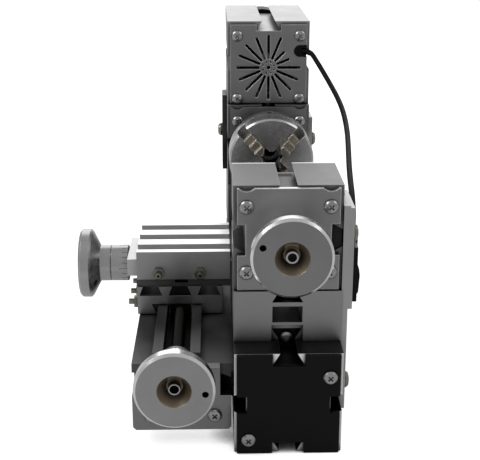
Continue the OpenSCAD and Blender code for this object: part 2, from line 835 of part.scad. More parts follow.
// A stepped jaw with side ribs and a wedge-shaped tip, so that the four can close
module chuck_jaw(k) {
    tip = jaw_open;
    end = jaw_open + jaw_l;
    step = jaw_l / 3;
    tip_w = 1.2;
    half = jaw_w / 2 + 1;
    color([0.72, 0.66, 0.52]) jaw_place(k) intersection() {
        union() {
            translate([0, jaw_w / 2, 0]) rotate([90, 0, 0]) linear_extrude(jaw_w)
                polygon([[chuck_face - jaw_depth, tip], [chuck_face + jaw_h - 0.8, tip],
                         [chuck_face + jaw_h, tip + 0.8], [chuck_face + jaw_h, tip + step],
                         [chuck_face + jaw_h * 0.62, tip + step],
                         [chuck_face + jaw_h * 0.62, tip + 2 * step],
                         [chuck_face + jaw_h * 0.25, tip + 2 * step],
                         [chuck_face + jaw_h * 0.25, end], [chuck_face - jaw_depth, end]]);
            cube_from([chuck_face - jaw_rib_x - 1, -half, tip],
                      [chuck_face - jaw_rib_x + 1, half, end]);
        }
        translate([chuck_face - jaw_depth - 1, 0, 0]) rotate([90, 0, 90])
            linear_extrude(jaw_depth + jaw_h + 2)
            polygon([[-tip_w / 2, tip], [tip_w / 2, tip], [half, tip + half - tip_w / 2],
                     [half, end + 1], [-half, end + 1], [-half, tip + half - tip_w / 2]]);
    }
}

module chuck_jaw_1() {
    chuck_jaw(0);
}

module chuck_jaw_2() {
    chuck_jaw(1);
}

module chuck_jaw_3() {
    chuck_jaw(2);
}

module chuck_jaw_4() {
    chuck_jaw(3);
}

module chuck_scroll_ring() {
    x0 = chuck_back + chuck_back_l + 0.2;
    pin_hole_r = 2.1;
    color(dark_aluminium) difference() {
        ring_x(x0, x0 + scroll_w, chuck_r, chuck_core_r + run_gap, axis_z);
        for (k = [0:3]) {
            translate([x0 + scroll_w / 2, 0, axis_z]) rotate([90 * k, 0, 0])
                translate([0, 0, chuck_core_r + 4]) cylinder(r = pin_hole_r, h = chuck_r);
        }
    }
}

motor_boss_r = 6.5;
motor_boss_l = 2;

module motor_housing() {
    color([0.74, 0.74, 0.76]) housing(head_back, motor_face, motor_z, motor_r + 0.1,
                                      motor_screw_z, motor_mark_dz);
}

// Radial vent slots; those that would run into the cable notch are shorter
module vent_outline() {
    inner = 6;
    for (k = [0:vent_count - 1]) {
        a = k * 360 / vent_count;
        short = a > 15 && a < 50;
        outer = short ? vent_r - 6 : vent_r;
        rotate(a) {
            translate([inner, -vent_w / 2]) square([outer - inner, vent_w]);
            translate([inner, 0]) circle(vent_w / 2);
            translate([outer, 0]) circle(vent_w / 2);
        }
    }
    circle(1.2);
    for (k = [0:7]) {
        rotate(22.5 + 45 * k) translate([3.6, 0]) circle(0.6, $fn = 16);
    }
}

module motor_vent_cover() {
    w = module_w - 2 * cover_inset;
    reach = module_w / 2 - cover_inset;
    notch_w = groove_root + 0.4;
    color([0.6, 0.6, 0.62]) difference() {
        along_x(motor_face - cover_t, motor_face) translate([0, motor_z]) difference() {
            translate([-reach, -reach - 1]) square([w, w + 1]);
            translate([-notch_w / 2, reach - groove_depth + cover_inset])
                square([notch_w, groove_depth]);
            translate([0, motor_mark_dz]) vent_outline();
            translate([grommet_y[0] + notch_h / 2, notch_z - motor_z]) circle(notch_h / 2);
            translate([grommet_y[0] + notch_h / 2, notch_z - motor_z - notch_h / 2])
                square([module_w / 2, notch_h]);
        }
        translate([motor_face - cover_t - 1, 0, motor_z + motor_mark_dz])
            at_corners(cover_screw_y, -motor_screw_z, motor_screw_z)
            rod_x(0, cover_t + 2, screw_shank_r + 0.1);
    }
}

module motor_can() {
    x0 = head_back + cover_t;
    color(dark_aluminium) difference() {
        translate([0, 0, motor_z]) rotate([0, 90, 0]) rotate_extrude()
            polygon([[0, x0 - motor_boss_l], [motor_boss_r, x0 - motor_boss_l], [motor_boss_r, x0],
                     [motor_r - 1, x0], [motor_r, x0 + 1], [motor_r, x0 + motor_can_l - 1],
                     [motor_r - 1, x0 + motor_can_l], [motor_boss_r, x0 + motor_can_l],
                     [motor_boss_r, x0 + motor_can_l + 3], [0, x0 + motor_can_l + 3]]);
        rod_x(x0 - motor_boss_l - 1, x0 + motor_can_l + 4, motor_shaft_r + run_gap, 0, motor_z);
    }
}

module motor_shaft() {
    color(steel) rod_x(spindle_end + 1, head_back + cover_t + motor_can_l + 5, motor_shaft_r,
                       0, motor_z);
}

module motor_pulley() {
    color(dark_aluminium) pulley(small_pulley_r, motor_shaft_r, motor_z, motor_shaft_r + 2.5);
}

// Band round two circles, from their common outer tangents
module band_outline(r_low, r_high) {
    rise = motor_z - axis_z;
    lean = asin((r_low - r_high) / rise);
    circle(r_low, $fn = 96);
    translate([0, rise]) circle(r_high, $fn = 96);
    polygon([[-r_low * cos(lean), r_low * sin(lean)], [r_low * cos(lean), r_low * sin(lean)],
             [r_high * cos(lean), rise + r_high * sin(lean)],
             [-r_high * cos(lean), rise + r_high * sin(lean)]]);
}

module drive_belt() {
    gap = 0.1;
    color(black) along_x(belt_x - belt_w / 2, belt_x + belt_w / 2) translate([0, axis_z])
        difference() {
            band_outline(big_pulley_r + gap + belt_t, small_pulley_r + gap + belt_t);
            band_outline(big_pulley_r + gap, small_pulley_r + gap);
        }
}

belt_post_r = 3;
belt_post_z = motor_z + motor_mark_dz - motor_screw_z;

// A shell with an inward lip, held by two long screws through posts beside the belt
module belt_cover() {
    r = module_w / 2;
    top_r = r - 2.8;
    lip_w = 3.2;
    lip_t = 2;
    color(black) difference() {
        union() {
            difference() {
                along_x(head_back - belt_cover_d, head_back)
                    translate([0, axis_z]) band_outline(r, top_r);
                along_x(head_back - belt_cover_d + belt_cover_t, head_back - lip_t)
                    translate([0, axis_z]) band_outline(r - belt_cover_t, top_r - belt_cover_t);
                along_x(head_back - lip_t - 1, head_back + 1)
                    translate([0, axis_z]) band_outline(r - lip_w, top_r - lip_w);
            }
            for (s = [-1, 1]) {
                rod_x(head_back - belt_cover_d + 0.5, head_back, belt_post_r,
                      s * cover_screw_y, belt_post_z);
            }
        }
        for (s = [-1, 1]) {
            rod_x(head_back - belt_cover_d - 1, head_back + 1, screw_shank_r + 0.1,
                  s * cover_screw_y, belt_post_z);
        }
    }
}

// A countersunk screw that points along +X, its head flush at x = 0
module flush_screw() {
    rotate([0, 90, 0]) rotate_extrude() polygon([[0, 0.6], [0.9, 0.6], [0.9, 0], [flush_r, 0],
        [screw_shank_r, flush_h], [screw_shank_r, screw_shank_l], [0, screw_shank_l]]);
}

// The tailstock's quill, its centre and its feed screw
quill_front = tail_back - quill_out;
quill_hollow_l = 30;
center_shank_l = 12;
center_shank_r = 3;

module quill() {
    color(steel) translate([0, 0, axis_z]) rotate([0, 90, 0]) rotate_extrude()
        polygon([[0, quill_front + center_shank_l + 0.2],
                 [center_shank_r, quill_front + center_shank_l + 0.2],
                 [center_shank_r, quill_front], [quill_r - 1, quill_front],
                 [quill_r, quill_front + 1], [quill_r, quill_front + quill_len],
                 [quill_screw_r + run_gap, quill_front + quill_len],
                 [quill_screw_r + run_gap, quill_front + quill_len - quill_hollow_l],
                 [0, quill_front + quill_len - quill_hollow_l]]);
}

module tail_center() {
    color(steel) translate([0, 0, axis_z]) rotate([0, 90, 0]) rotate_extrude()
        polygon([[0, quill_front - center_out], [5.5, quill_front - center_out + 9.5],
                 [5.5, quill_front], [center_shank_r, quill_front],
                 [center_shank_r, quill_front + center_shank_l], [0, quill_front + center_shank_l]]);
}

// End of a feed screw inside a handwheel: a neck with a hollow end that shows in the wheel
wheel_len = collar_gap + collar_l + taper_l + rim_w;
neck_r = 2.8;
neck_bore_r = 2;

module feed_screw(tip, face, r) {
    out = face + wheel_len;
    rotate([0, 90, 0]) rotate_extrude()
        polygon([[0, tip], [r - 0.5, tip], [r, tip + 0.5], [r, face + collar_l],
                 [min(r, neck_r), face + collar_l], [neck_r, out - 2.2], [neck_bore_r, out - 2.2],
                 [neck_bore_r, out - 8], [0, out - 8]]);
}

module quill_screw() {
    color(steel) {
        translate([0, 0, axis_z])
            feed_screw(quill_front + quill_len - quill_hollow_l + 2, tail_face, quill_screw_r);
        ring_x(tail_face - cover_t - 3.2, tail_face - cover_t - 0.2, quill_r - 0.8,
               quill_screw_r, axis_z);
    }
}

// A handwheel on the X axis: collar, tapered back, rim and conical hollow, bored for its screw
module handwheel(face, r, handle_angle) {
    x0 = face + collar_gap;
    x1 = x0 + collar_l;
    x2 = x1 + taper_l;
    x3 = x2 + rim_w;
    throat = neck_r + 0.02;
    difference() {
        rotate([0, 90, 0]) rotate_extrude($fn = 96)
            polygon([[r, x0], [collar_r - 0.4, x0], [collar_r, x0 + 0.4], [collar_r, x0 + 9],
                     [collar_r - 0.35, x0 + 9.3], [collar_r, x0 + 9.6], [collar_r, x1],
                     [wheel_r - 1, x2], [wheel_r, x2 + 1], [wheel_r, x3 - 1.2],
                     [wheel_r - 1.2, x3], [hollow_r, x3], [hollow_r - 0.5, x3 - 0.6],
                     [throat + 0.9, x3 - 6], [throat, x3 - 6], [throat, face + collar_l],
                     [r, face + collar_l]]);
        rotate([handle_angle, 0, 0]) translate([x2 + 0.5, 0, handle_hole_at]) rotate([0, 90, 0])
            cylinder(r = handle_hole_r, h = rim_w);
        translate([x3 - 5.5, -3.2, 0]) cube([6, 6.4, hollow_r - 1.2]);
    }
}

module tail_handwheel() {
    color(aluminium) translate([0, 0, axis_z]) handwheel(tail_face, quill_screw_r, 68);
}

module slide_handwheel() {
    color(aluminium) translate([0, way_y, long_screw_z])
        handwheel(bracket_face, screw_r, -96);
}

module slide_screw() {
    color(dark_aluminium) translate([0, way_y, long_screw_z])
        feed_screw(slide_left - bracket_t + 0.5, bracket_face, screw_r);
}

// The long carriage with its gib, nut and screws
module long_carriage() {
    color(dark_aluminium) difference() {
        along_x(carriage_left, carriage_right) difference() {
            translate([way_y - carriage_w / 2, carriage_bottom]) square([carriage_w, carriage_h]);
            for (k = [-1, 0, 1]) {
                translate([way_y + k * long_pitch, carriage_top])
                    groove_outline(plate_root, plate_depth);
            }
            translate([way_y, slide_top]) ways_hollow(-1);
        }
        for (k = [-1, 0, 1]) {
            rod_y(way_y - carriage_w / 2 - 1, way_y, screw_shank_r + 0.05,
                  cross_x + k * gib_pitch, slide_top + gib_screw_rise);
        }
    }
}

module long_gib() {
    color(bronze) along_x(carriage_left + 0.5, carriage_right - 0.5)
        translate([way_y, slide_top]) gib_outline(-1);
}

// A gib screw with its lock nut, pointing along +Y, its tip at y = 0
gib_screw_out = 5.2;

module gib_screw(wall) {
    rotate([-90, 0, 0]) difference() {
        translate([0, 0, -wall - gib_screw_out])
            cylinder(r = screw_shank_r, h = wall + gib_screw_out);
        translate([0, 0, -wall - gib_screw_out - 0.1]) cylinder(r = 0.75, h = 1.6, $fn = 6);
    }
    rotate([-90, 0, 0]) translate([0, 0, -wall - 2.4]) difference() {
        cylinder(r = 3.2, h = 2.4, $fn = 6);
        translate([0, 0, -1]) cylinder(r = screw_shank_r + 0.02, h = 5);
    }
}

// Distance from the middle of the ways to the back of a gib at the height of its screws
function gib_back() = way_foot / 2 + slide_gap + gib_t
    + (way_top - way_foot) / 2 / way_h * (gib_screw_rise + screw_shank_r) + 0.05;

module long_gib_screws() {
    wall = carriage_w / 2 - gib_back();
    color(steel) for (k = [-1, 0, 1]) {
        translate([cross_x + k * gib_pitch, way_y - carriage_w / 2 + wall,
                   slide_top + gib_screw_rise]) gib_screw(wall);
    }
}

nut_w = 10.4;
nut_l = 20;

module long_nut() {
    color(bronze) difference() {
        cube_from([carriage_right - 1 - nut_l, way_y - nut_w / 2, slide_top - channel_drop + 0.5],
                  [carriage_right - 1, way_y + nut_w / 2, slide_top + cutout_h]);
        rod_x(carriage_right - nut_l - 2, carriage_right + 1, screw_r + run_gap, way_y,
              long_screw_z);
    }
}

module carriage_key() {
    color(black) along_x(carriage_left + 1, carriage_right - 1)
        translate([way_y, carriage_top]) difference() {
            groove_outline(plate_root, plate_depth, key_gap);
            translate([-module_w, 0]) square([2 * module_w, 10]);
        }
}

module cross_base() {
    color(black) difference() {
        along_y(cross_front, cross_rear) {
            difference() {
                translate([cross_x - cross_w / 2, carriage_top]) square([cross_w, cross_plate_t]);
                translate([cross_x - way_channel / 2, cross_foot - channel_drop])
                    square([way_channel, channel_drop + 1]);
            }
            translate([cross_x, cross_foot]) ways_outline();
        }
        translate([cross_x + cross_w / 2 - 3, way_y - 2.5, cross_foot - 2])
            cube([4, 6.7, 3]);
    }
}

module cross_bracket(y0) {
    rise = 9;
    small_lug_r = 7;
    difference() {
        along_y(y0, y0 + bracket_t) {
            translate([cross_x - bracket_w / 2, cross_foot]) square([bracket_w, rise]);
            translate([cross_x, cross_screw_z]) circle(small_lug_r);
        }
        rod_y(y0 - 1, y0 + bracket_t + 1, screw_r + run_gap, cross_x, cross_screw_z);
    }
}

module cross_brackets() {
    color(dark_aluminium) {
        cross_bracket(cross_front - bracket_t);
        cross_bracket(cross_rear);
    }
}

// Turns a part that is drawn along +X so that it points to the operator
module to_operator() {
    translate([cross_x, cross_bracket_face, cross_screw_z]) rotate([0, 0, -90]) children();
}

module cross_screw() {
    color(dark_aluminium) to_operator()
        feed_screw(-cross_len - 2 * bracket_t + 0.5, 0, screw_r);
}

module cross_handwheel() {
    color(aluminium) to_operator() handwheel(0, screw_r, 120);
}

cross_carriage_front = cross_front + 0.4;
cross_carriage_rear = cross_carriage_front + cross_carriage_len;

module cross_carriage() {
    color(aluminium) difference() {
        along_y(cross_carriage_front, cross_carriage_rear) difference() {
            translate([cross_x - carriage_len / 2, cross_bottom]) square([carriage_len, carriage_h]);
            for (k = [-1, 0, 1]) {
                translate([cross_x + k * cross_pitch, cross_top])
                    groove_outline(plate_root, plate_depth);
            }
            translate([cross_x, cross_foot]) ways_hollow(1);
        }
        for (y = cross_gib_at) {
            rod_x(cross_x, cross_x + carriage_len, screw_shank_r + 0.05,
                  cross_carriage_front + y, cross_foot + gib_screw_rise);
        }
    }
}

module cross_gib() {
    color(bronze) along_y(cross_carriage_front + 0.5, cross_carriage_rear - 0.5)
        translate([cross_x, cross_foot]) gib_outline(1);
}

module cross_gib_screws() {
    wall = carriage_len / 2 - gib_back();
    color(steel) for (y = cross_gib_at) {
        translate([cross_x + carriage_len / 2 - wall, cross_carriage_front + y,
                   cross_foot + gib_screw_rise]) rotate([0, 0, 90]) gib_screw(wall);
    }
}

module cross_nut() {
    color(bronze) difference() {
        cube_from([cross_x - nut_w / 2, cross_carriage_front + 1, cross_foot - channel_drop + 0.5],
                  [cross_x + nut_w / 2, cross_carriage_front + 1 + nut_l, cross_foot + cutout_h]);
        rod_y(cross_carriage_front, cross_carriage_front + nut_l + 2, screw_r + run_gap, cross_x,
              cross_screw_z);
    }
}

// A flat strap against a housing's side, with its two bolt holes
module strap(x, y0, top, holes) {
    difference() {
        cube_from([x - strap_w / 2, y0, strap_foot], [x + strap_w / 2, y0 + strap_t, top]);
        for (z = holes) {
            rod_y(y0 - 1, y0 + strap_t + 1, bolt_r + 0.05, x, z);
        }
    }
}

// The hole that the switch's body needs in the strap and in the plate
module switch_cutout(y0, y1) {
    w = switch_body_w + 0.2;
    l = switch_body_l + 0.2;
    cube_from([switch_x - w / 2, y0, switch_z - l / 2], [switch_x + w / 2, y1, switch_z + l / 2]);
}

module tail_strap() {
    color(steel) difference() {
        strap(tail_strap_x, module_w / 2, strap_top, [bed_mid, axis_z]);
        switch_cutout(module_w / 2 - 1, strap_out + 1);
    }
}

module head_strap() {
    color(steel) strap(head_strap_x, module_w / 2, strap_top, [bed_mid, axis_z]);
}

module front_plate() {
    half = module_w / 2 - 0.5;
    color(black) difference() {
        cube_from([front_plate_x - front_plate_w / 2, -module_w / 2 - strap_t, axis_z - half],
                  [front_plate_x + front_plate_w / 2, -module_w / 2, axis_z + half]);
        rod_y(-module_w / 2 - strap_t - 1, -module_w / 2 + 1, bolt_r + 0.05, front_plate_x, axis_z);
    }
}

// A pan-head bolt that points along -Y, its head's underside at y = 0
module strap_bolt(grip) {
    shank = grip + groove_depth - 1;
    rotate([-90, 0, 0]) rotate_extrude()
        polygon([[0, -shank], [bolt_r, -shank], [bolt_r, 0], [bolt_head_r, 0],
                 [bolt_head_r, bolt_head_h * 0.4], [bolt_head_r * 0.8, bolt_head_h * 0.85],
                 [bolt_head_r * 0.45, bolt_head_h], [1.7, bolt_head_h], [1.7, bolt_head_h - 1.2],
                 [0, bolt_head_h - 1.2]]);
}

module strap_bolts() {
    color(steel) {
        translate([tail_strap_x, strap_out, bed_mid]) strap_bolt(strap_t);
        translate([tail_strap_x, plate_out, axis_z]) strap_bolt(strap_t + plate_t);
        for (z = [bed_mid, axis_z]) {
            translate([head_strap_x, strap_out, z]) strap_bolt(strap_t);
        }
        translate([front_plate_x, -strap_out, axis_z]) rotate([0, 0, 180]) strap_bolt(strap_t);
    }
}

nut_bar_l = 14;

module groove_nut() {
    difference() {
        along_x(-nut_bar_l / 2, nut_bar_l / 2) rotate(-90) difference() {
            groove_outline(groove_root, groove_depth, key_gap);
            translate([-module_w, -0.4]) square([2 * module_w, 10]);
        }
        rod_y(-groove_depth - 1, 1, bolt_r + 0.05);
    }
}

module groove_nuts() {
    color(steel) {
        for (z = [bed_mid, axis_z]) {
            translate([tail_strap_x, module_w / 2, z]) groove_nut();
            translate([head_strap_x, module_w / 2, z]) groove_nut();
        }
        translate([front_plate_x, -module_w / 2, axis_z]) rotate([0, 0, 180]) groove_nut();
    }
}

module switch_plate() {
    z0 = axis_z - plate_drop;
    z1 = strap_top - 1;
    color(steel) difference() {
        cube_from([plate_left, strap_out, z0], [plate_right, plate_out, z1]);
        rod_y(strap_out - 1, plate_out + 1, bolt_r + 0.05, tail_strap_x, axis_z);
        switch_cutout(strap_out - 1, plate_out + 1);
    }
}

rocker_y = plate_out + 0.2;

module switch_body() {
    inner_w = rocker_w + 0.4;
    inner_l = rocker_l + 0.6;
    color(black) difference() {
        union() {
            cube_from([switch_x - bezel_w / 2, plate_out, switch_z - bezel_l / 2],
                      [switch_x + bezel_w / 2, plate_out + bezel_t, switch_z + bezel_l / 2]);
            cube_from([switch_x - switch_body_w / 2, module_w / 2 + 0.2,
                       switch_z - switch_body_l / 2],
                      [switch_x + switch_body_w / 2, plate_out, switch_z + switch_body_l / 2]);
        }
        cube_from([switch_x - inner_w / 2, module_w / 2 + 1.2, switch_z - inner_l / 2],
                  [switch_x + inner_w / 2, plate_out + bezel_t + 1, switch_z + inner_l / 2]);
    }
    color(black) rod_x(switch_x - inner_w / 2 - 0.2, switch_x + inner_w / 2 + 0.2,
                       rocker_pin_r, rocker_y, switch_z);
}

rocker_pin_r = 0.8;

// The rocker with its upper half pressed in
module switch_rocker() {
    half = rocker_l / 2;
    color(black) translate([0, rocker_y, switch_z]) rotate([rocker_tilt, 0, 0]) difference() {
        along_x(switch_x - rocker_w / 2, switch_x + rocker_w / 2)
            polygon([[-1.6, 0], [-1.2, 3], [0.3, half], [1.7, half], [2.2, half - 1.2],
                     [3.6, 1.5], [3.6, -1.5], [2.2, -half + 1.2], [1.7, -half], [0.3, -half],
                     [-1.2, -3]]);
        rod_x(switch_x - rocker_w, switch_x + rocker_w, rocker_pin_r + run_gap);
    }
}

// The grommet in the motor cover's notch and the gland by the switch
module cord_grommets() {
    end = module_w / 2 - cover_inset - 0.3;
    half = notch_h / 2 - 0.1;
    color(black) {
        difference() {
            along_x(motor_face - cover_t + 0.05, motor_face + 0.4) translate([0, notch_z]) {
                translate([grommet_y[0] + notch_h / 2, 0]) circle(half);
                translate([grommet_y[0] + notch_h / 2, -half])
                    square([end - grommet_y[0] - notch_h / 2, 2 * half]);
            }
            rod_y(grommet_y[1], module_w, cord_d / 2 + 0.35, cord_start[0], notch_z);
            translate([cord_start[0], grommet_y[1], notch_z - cord_d / 2 - 0.35])
                cube([cover_t, module_w, cord_d + 0.7]);
        }
        difference() {
            translate([gland_at[0], gland_at[1], gland_at[2] - gland_l])
                cylinder(r = gland_r, h = gland_l);
            translate([0, plate_out - gland_r, 0]) cube([2 * gland_at[0], gland_r, 2 * axis_z]);
        }
    }
}

// The cord, swept along a smooth curve through its route
function curve_at(p0, p1, p2, p3, t) = 0.5 * (2 * p1 + (p2 - p0) * t
    + (2 * p0 - 5 * p1 + 4 * p2 - p3) * t * t + (3 * p1 - p0 - 3 * p2 + p3) * t * t * t);

function route_point(i) = cord_route[max(0, min(len(cord_route) - 1, i))];

function cord_points() = concat([for (i = [0:len(cord_route) - 2], s = [0:cord_steps - 1])
    curve_at(route_point(i - 1), route_point(i), route_point(i + 1), route_point(i + 2),
             s / cord_steps)], [cord_route[len(cord_route) - 1]]);

function unit(v) = v / norm(v);

function heading(p, i) = i == 0 ? [0, 1, 0] : i == len(p) - 1 ? [0, 0, -1]
    : unit(p[i + 1] - p[i - 1]);

// Sideways direction of each ring, carried along the cord so that it never twists
function carried(v, h) = unit(v - h * (v * h));

function sideways(p, i, v) = i == len(p) ? [] : let (w = carried(v, heading(p, i)))
    concat([w], sideways(p, i + 1, w));

module motor_cord() {
    p = cord_points();
    n = len(p);
    k = cord_sides;
    v = sideways(p, 0, [1, 0, 0]);
    rings = [for (i = [0:n - 1], j = [0:k - 1])
        let (w = cross(heading(p, i), v[i]))
        p[i] + cord_d / 2 * (cos(360 * j / k) * v[i] + sin(360 * j / k) * w)];
    walls = [for (i = [0:n - 2], j = [0:k - 1], half = [0, 1])
        let (a = i * k + j, b = i * k + (j + 1) % k)
        half == 0 ? [a, b, b + k] : [a, b + k, a + k]];
    start = [for (j = [1:k - 2]) [0, j + 1, j]];
    finish = [for (j = [1:k - 2]) [(n - 1) * k, (n - 1) * k + j, (n - 1) * k + j + 1]];
    color(black) polyhedron(points = rings, faces = concat(walls, start, finish));
}

bed_rail();
bed_end_caps();
tail_raiser();
head_raiser();
stack_keys();
slide_key();
small_screws();
tailstock_housing();
tailstock_front_cover();
headstock_housing();
headstock_front_cover();
rear_covers();
spindle_bearings();
spindle();
spindle_pulley();
chuck_body();
chuck_scroll_ring();
chuck_jaw_1();
chuck_jaw_2();
chuck_jaw_3();
chuck_jaw_4();
motor_housing();
motor_vent_cover();
motor_can();
motor_shaft();
motor_pulley();
drive_belt();
belt_cover();
quill();
tail_center();
quill_screw();
tail_handwheel();
slide_base();
slide_brackets();
slide_screw();
slide_handwheel();
long_carriage();
long_gib();
long_gib_screws();
long_nut();
carriage_key();
cross_base();
cross_brackets();
cross_screw();
cross_handwheel();
cross_carriage();
cross_gib();
cross_gib_screws();
cross_nut();
tail_strap();
head_strap();
front_plate();
strap_bolts();
groove_nuts();
switch_plate();
switch_body();
switch_rocker();
cord_grommets();
motor_cord();
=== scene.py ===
"""Looks of a mini metal lathe of square aluminium housings: finishes, threads, dials, cord, studio."""
import logging
import math
from dataclasses import dataclass, replace
from enum import Enum

import bmesh
import bpy
from mathutils import Matrix, Vector


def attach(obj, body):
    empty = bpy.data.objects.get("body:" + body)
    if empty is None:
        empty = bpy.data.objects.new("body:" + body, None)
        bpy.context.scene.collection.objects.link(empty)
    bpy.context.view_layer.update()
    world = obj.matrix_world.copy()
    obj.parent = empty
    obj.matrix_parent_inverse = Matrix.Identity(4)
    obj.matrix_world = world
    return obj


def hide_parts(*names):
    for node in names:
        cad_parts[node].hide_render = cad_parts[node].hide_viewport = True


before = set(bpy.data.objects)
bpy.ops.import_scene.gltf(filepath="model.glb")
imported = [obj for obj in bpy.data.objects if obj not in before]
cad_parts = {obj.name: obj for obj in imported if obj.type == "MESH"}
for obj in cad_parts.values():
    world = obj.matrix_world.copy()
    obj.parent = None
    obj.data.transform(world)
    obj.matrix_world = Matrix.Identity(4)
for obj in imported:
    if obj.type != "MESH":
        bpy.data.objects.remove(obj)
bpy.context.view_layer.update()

log = logging.getLogger("lathe")

Color = tuple[float, float, float]
Point = tuple[float, float, float]
Outline = tuple[tuple[float, float], ...]
Tree = bpy.types.NodeTree
Socket = bpy.types.NodeSocket
Value = float | Socket
FLOAT = "NodeSocketFloat"
VECTOR = "NodeSocketVector"
VECTORS = "ShaderNodeVectorMath"
MM = 0.001
FAR = 9.0
SKIN = 0.02 * MM
ORIGIN = (0.0, 0.0, 0.0)
ROUND_X = (0.0, 1.0, 1.0)
WHEEL_LENGTH = 25.8 * MM
SCREW_RECESS = 2.2 * MM
BLASTED = {"pitch": 0.3 * MM, "depth": 0.004 * MM}


def maths(tree: Tree, operation: str, *values: Value, kind: str = "ShaderNodeMath",
          clamp: bool = False) -> Socket:
    """Adds a Math or Vector Math node.

    Args:
        tree: The tree that gets the node.
        operation: The node's operation.
        *values: Numbers or sockets for the inputs that it uses.
        kind: The node's type.
        clamp: Whether the result stays from 0 to 1.

    Returns:
        The output that it uses.
    """
    node = tree.nodes.new(kind)
    node.operation = operation
    if clamp:
        node.use_clamp = True
    used = [socket for socket in node.inputs if socket.enabled]
    for socket, value in zip(used, values):
        if isinstance(value, (int, float)):
            socket.default_value = value
        else:
            tree.links.new(value, socket)
    return next(socket for socket in node.outputs if socket.enabled)


class Grain(Enum):
    """How a surface was made, which sets the direction of its fine lines."""

    BEAD = "blasted"
    ALONG_X = "drawn along x"
    ALONG_Y = "drawn along y"
    ALONG_Z = "drawn along z"
    TURNED = "turned"
    MOULDED = "moulded"


@dataclass(frozen=True)
class Finish:
    """One finish of the lathe, with lengths in metres.

    Args:
        name: Name of the material.
        color: Base colour, linear.
        roughness: Mean roughness.
        metallic: 1 for bare or anodised metal, 0 for plastic and rubber.
        grain: Direction of the fine lines.
        pitch: Distance between fine lines or grains.
        depth: Height of the fine lines.
        wear_and_highlight: How far the edges take a paler colour, as wear and as painted highlight, 0 to 1.
        wear_and_highlight_color: Colour of the worn edges and of their painted highlight.
        smudge: How much the roughness varies over a few centimetres.
        shine: Specular level of plastic and rubber.
        edge: Radius of the rounded edges.
        recess_shade: How much painted shade darkens the grooves and corners, 0 to 1.
    """

    name: str
    color: Color
    roughness: float
    metallic: float = 1.0
    grain: Grain = Grain.BEAD
    pitch: float = 0.25 * MM
    depth: float = 0.002 * MM
    wear_and_highlight: float = 0.3
    wear_and_highlight_color: Color = (0.75, 0.75, 0.76)
    smudge: float = 0.08
    shine: float = 0.5
    edge: float = 0.2 * MM
    recess_shade: float = 0.9


@dataclass(frozen=True)
class Turning:
    """The axis that a turned part spins on.

    Args:
        centre: A point on the axis.
        across: 1 for each direction square to the axis, 0 along it.
    """

    centre: Point
    across: Point


@dataclass(frozen=True)
class Zone:
    """A part of a node that has another colour.

    Args:
        color: Colour inside the zone.
        along: Direction in which the zone's limits are measured.
        low: Lower limit along that direction.
        high: Upper limit along that direction.
        turning: Axis for a limit on the radius, if any.
        radius: Largest radius of the zone.
        rougher: What the zone adds to the roughness.
    """

    color: Color
    along: Point = (1.0, 0.0, 0.0)
    low: float = -FAR
    high: float = FAR
    turning: Turning | None = None
    radius: float = FAR
    rougher: float = 0.0


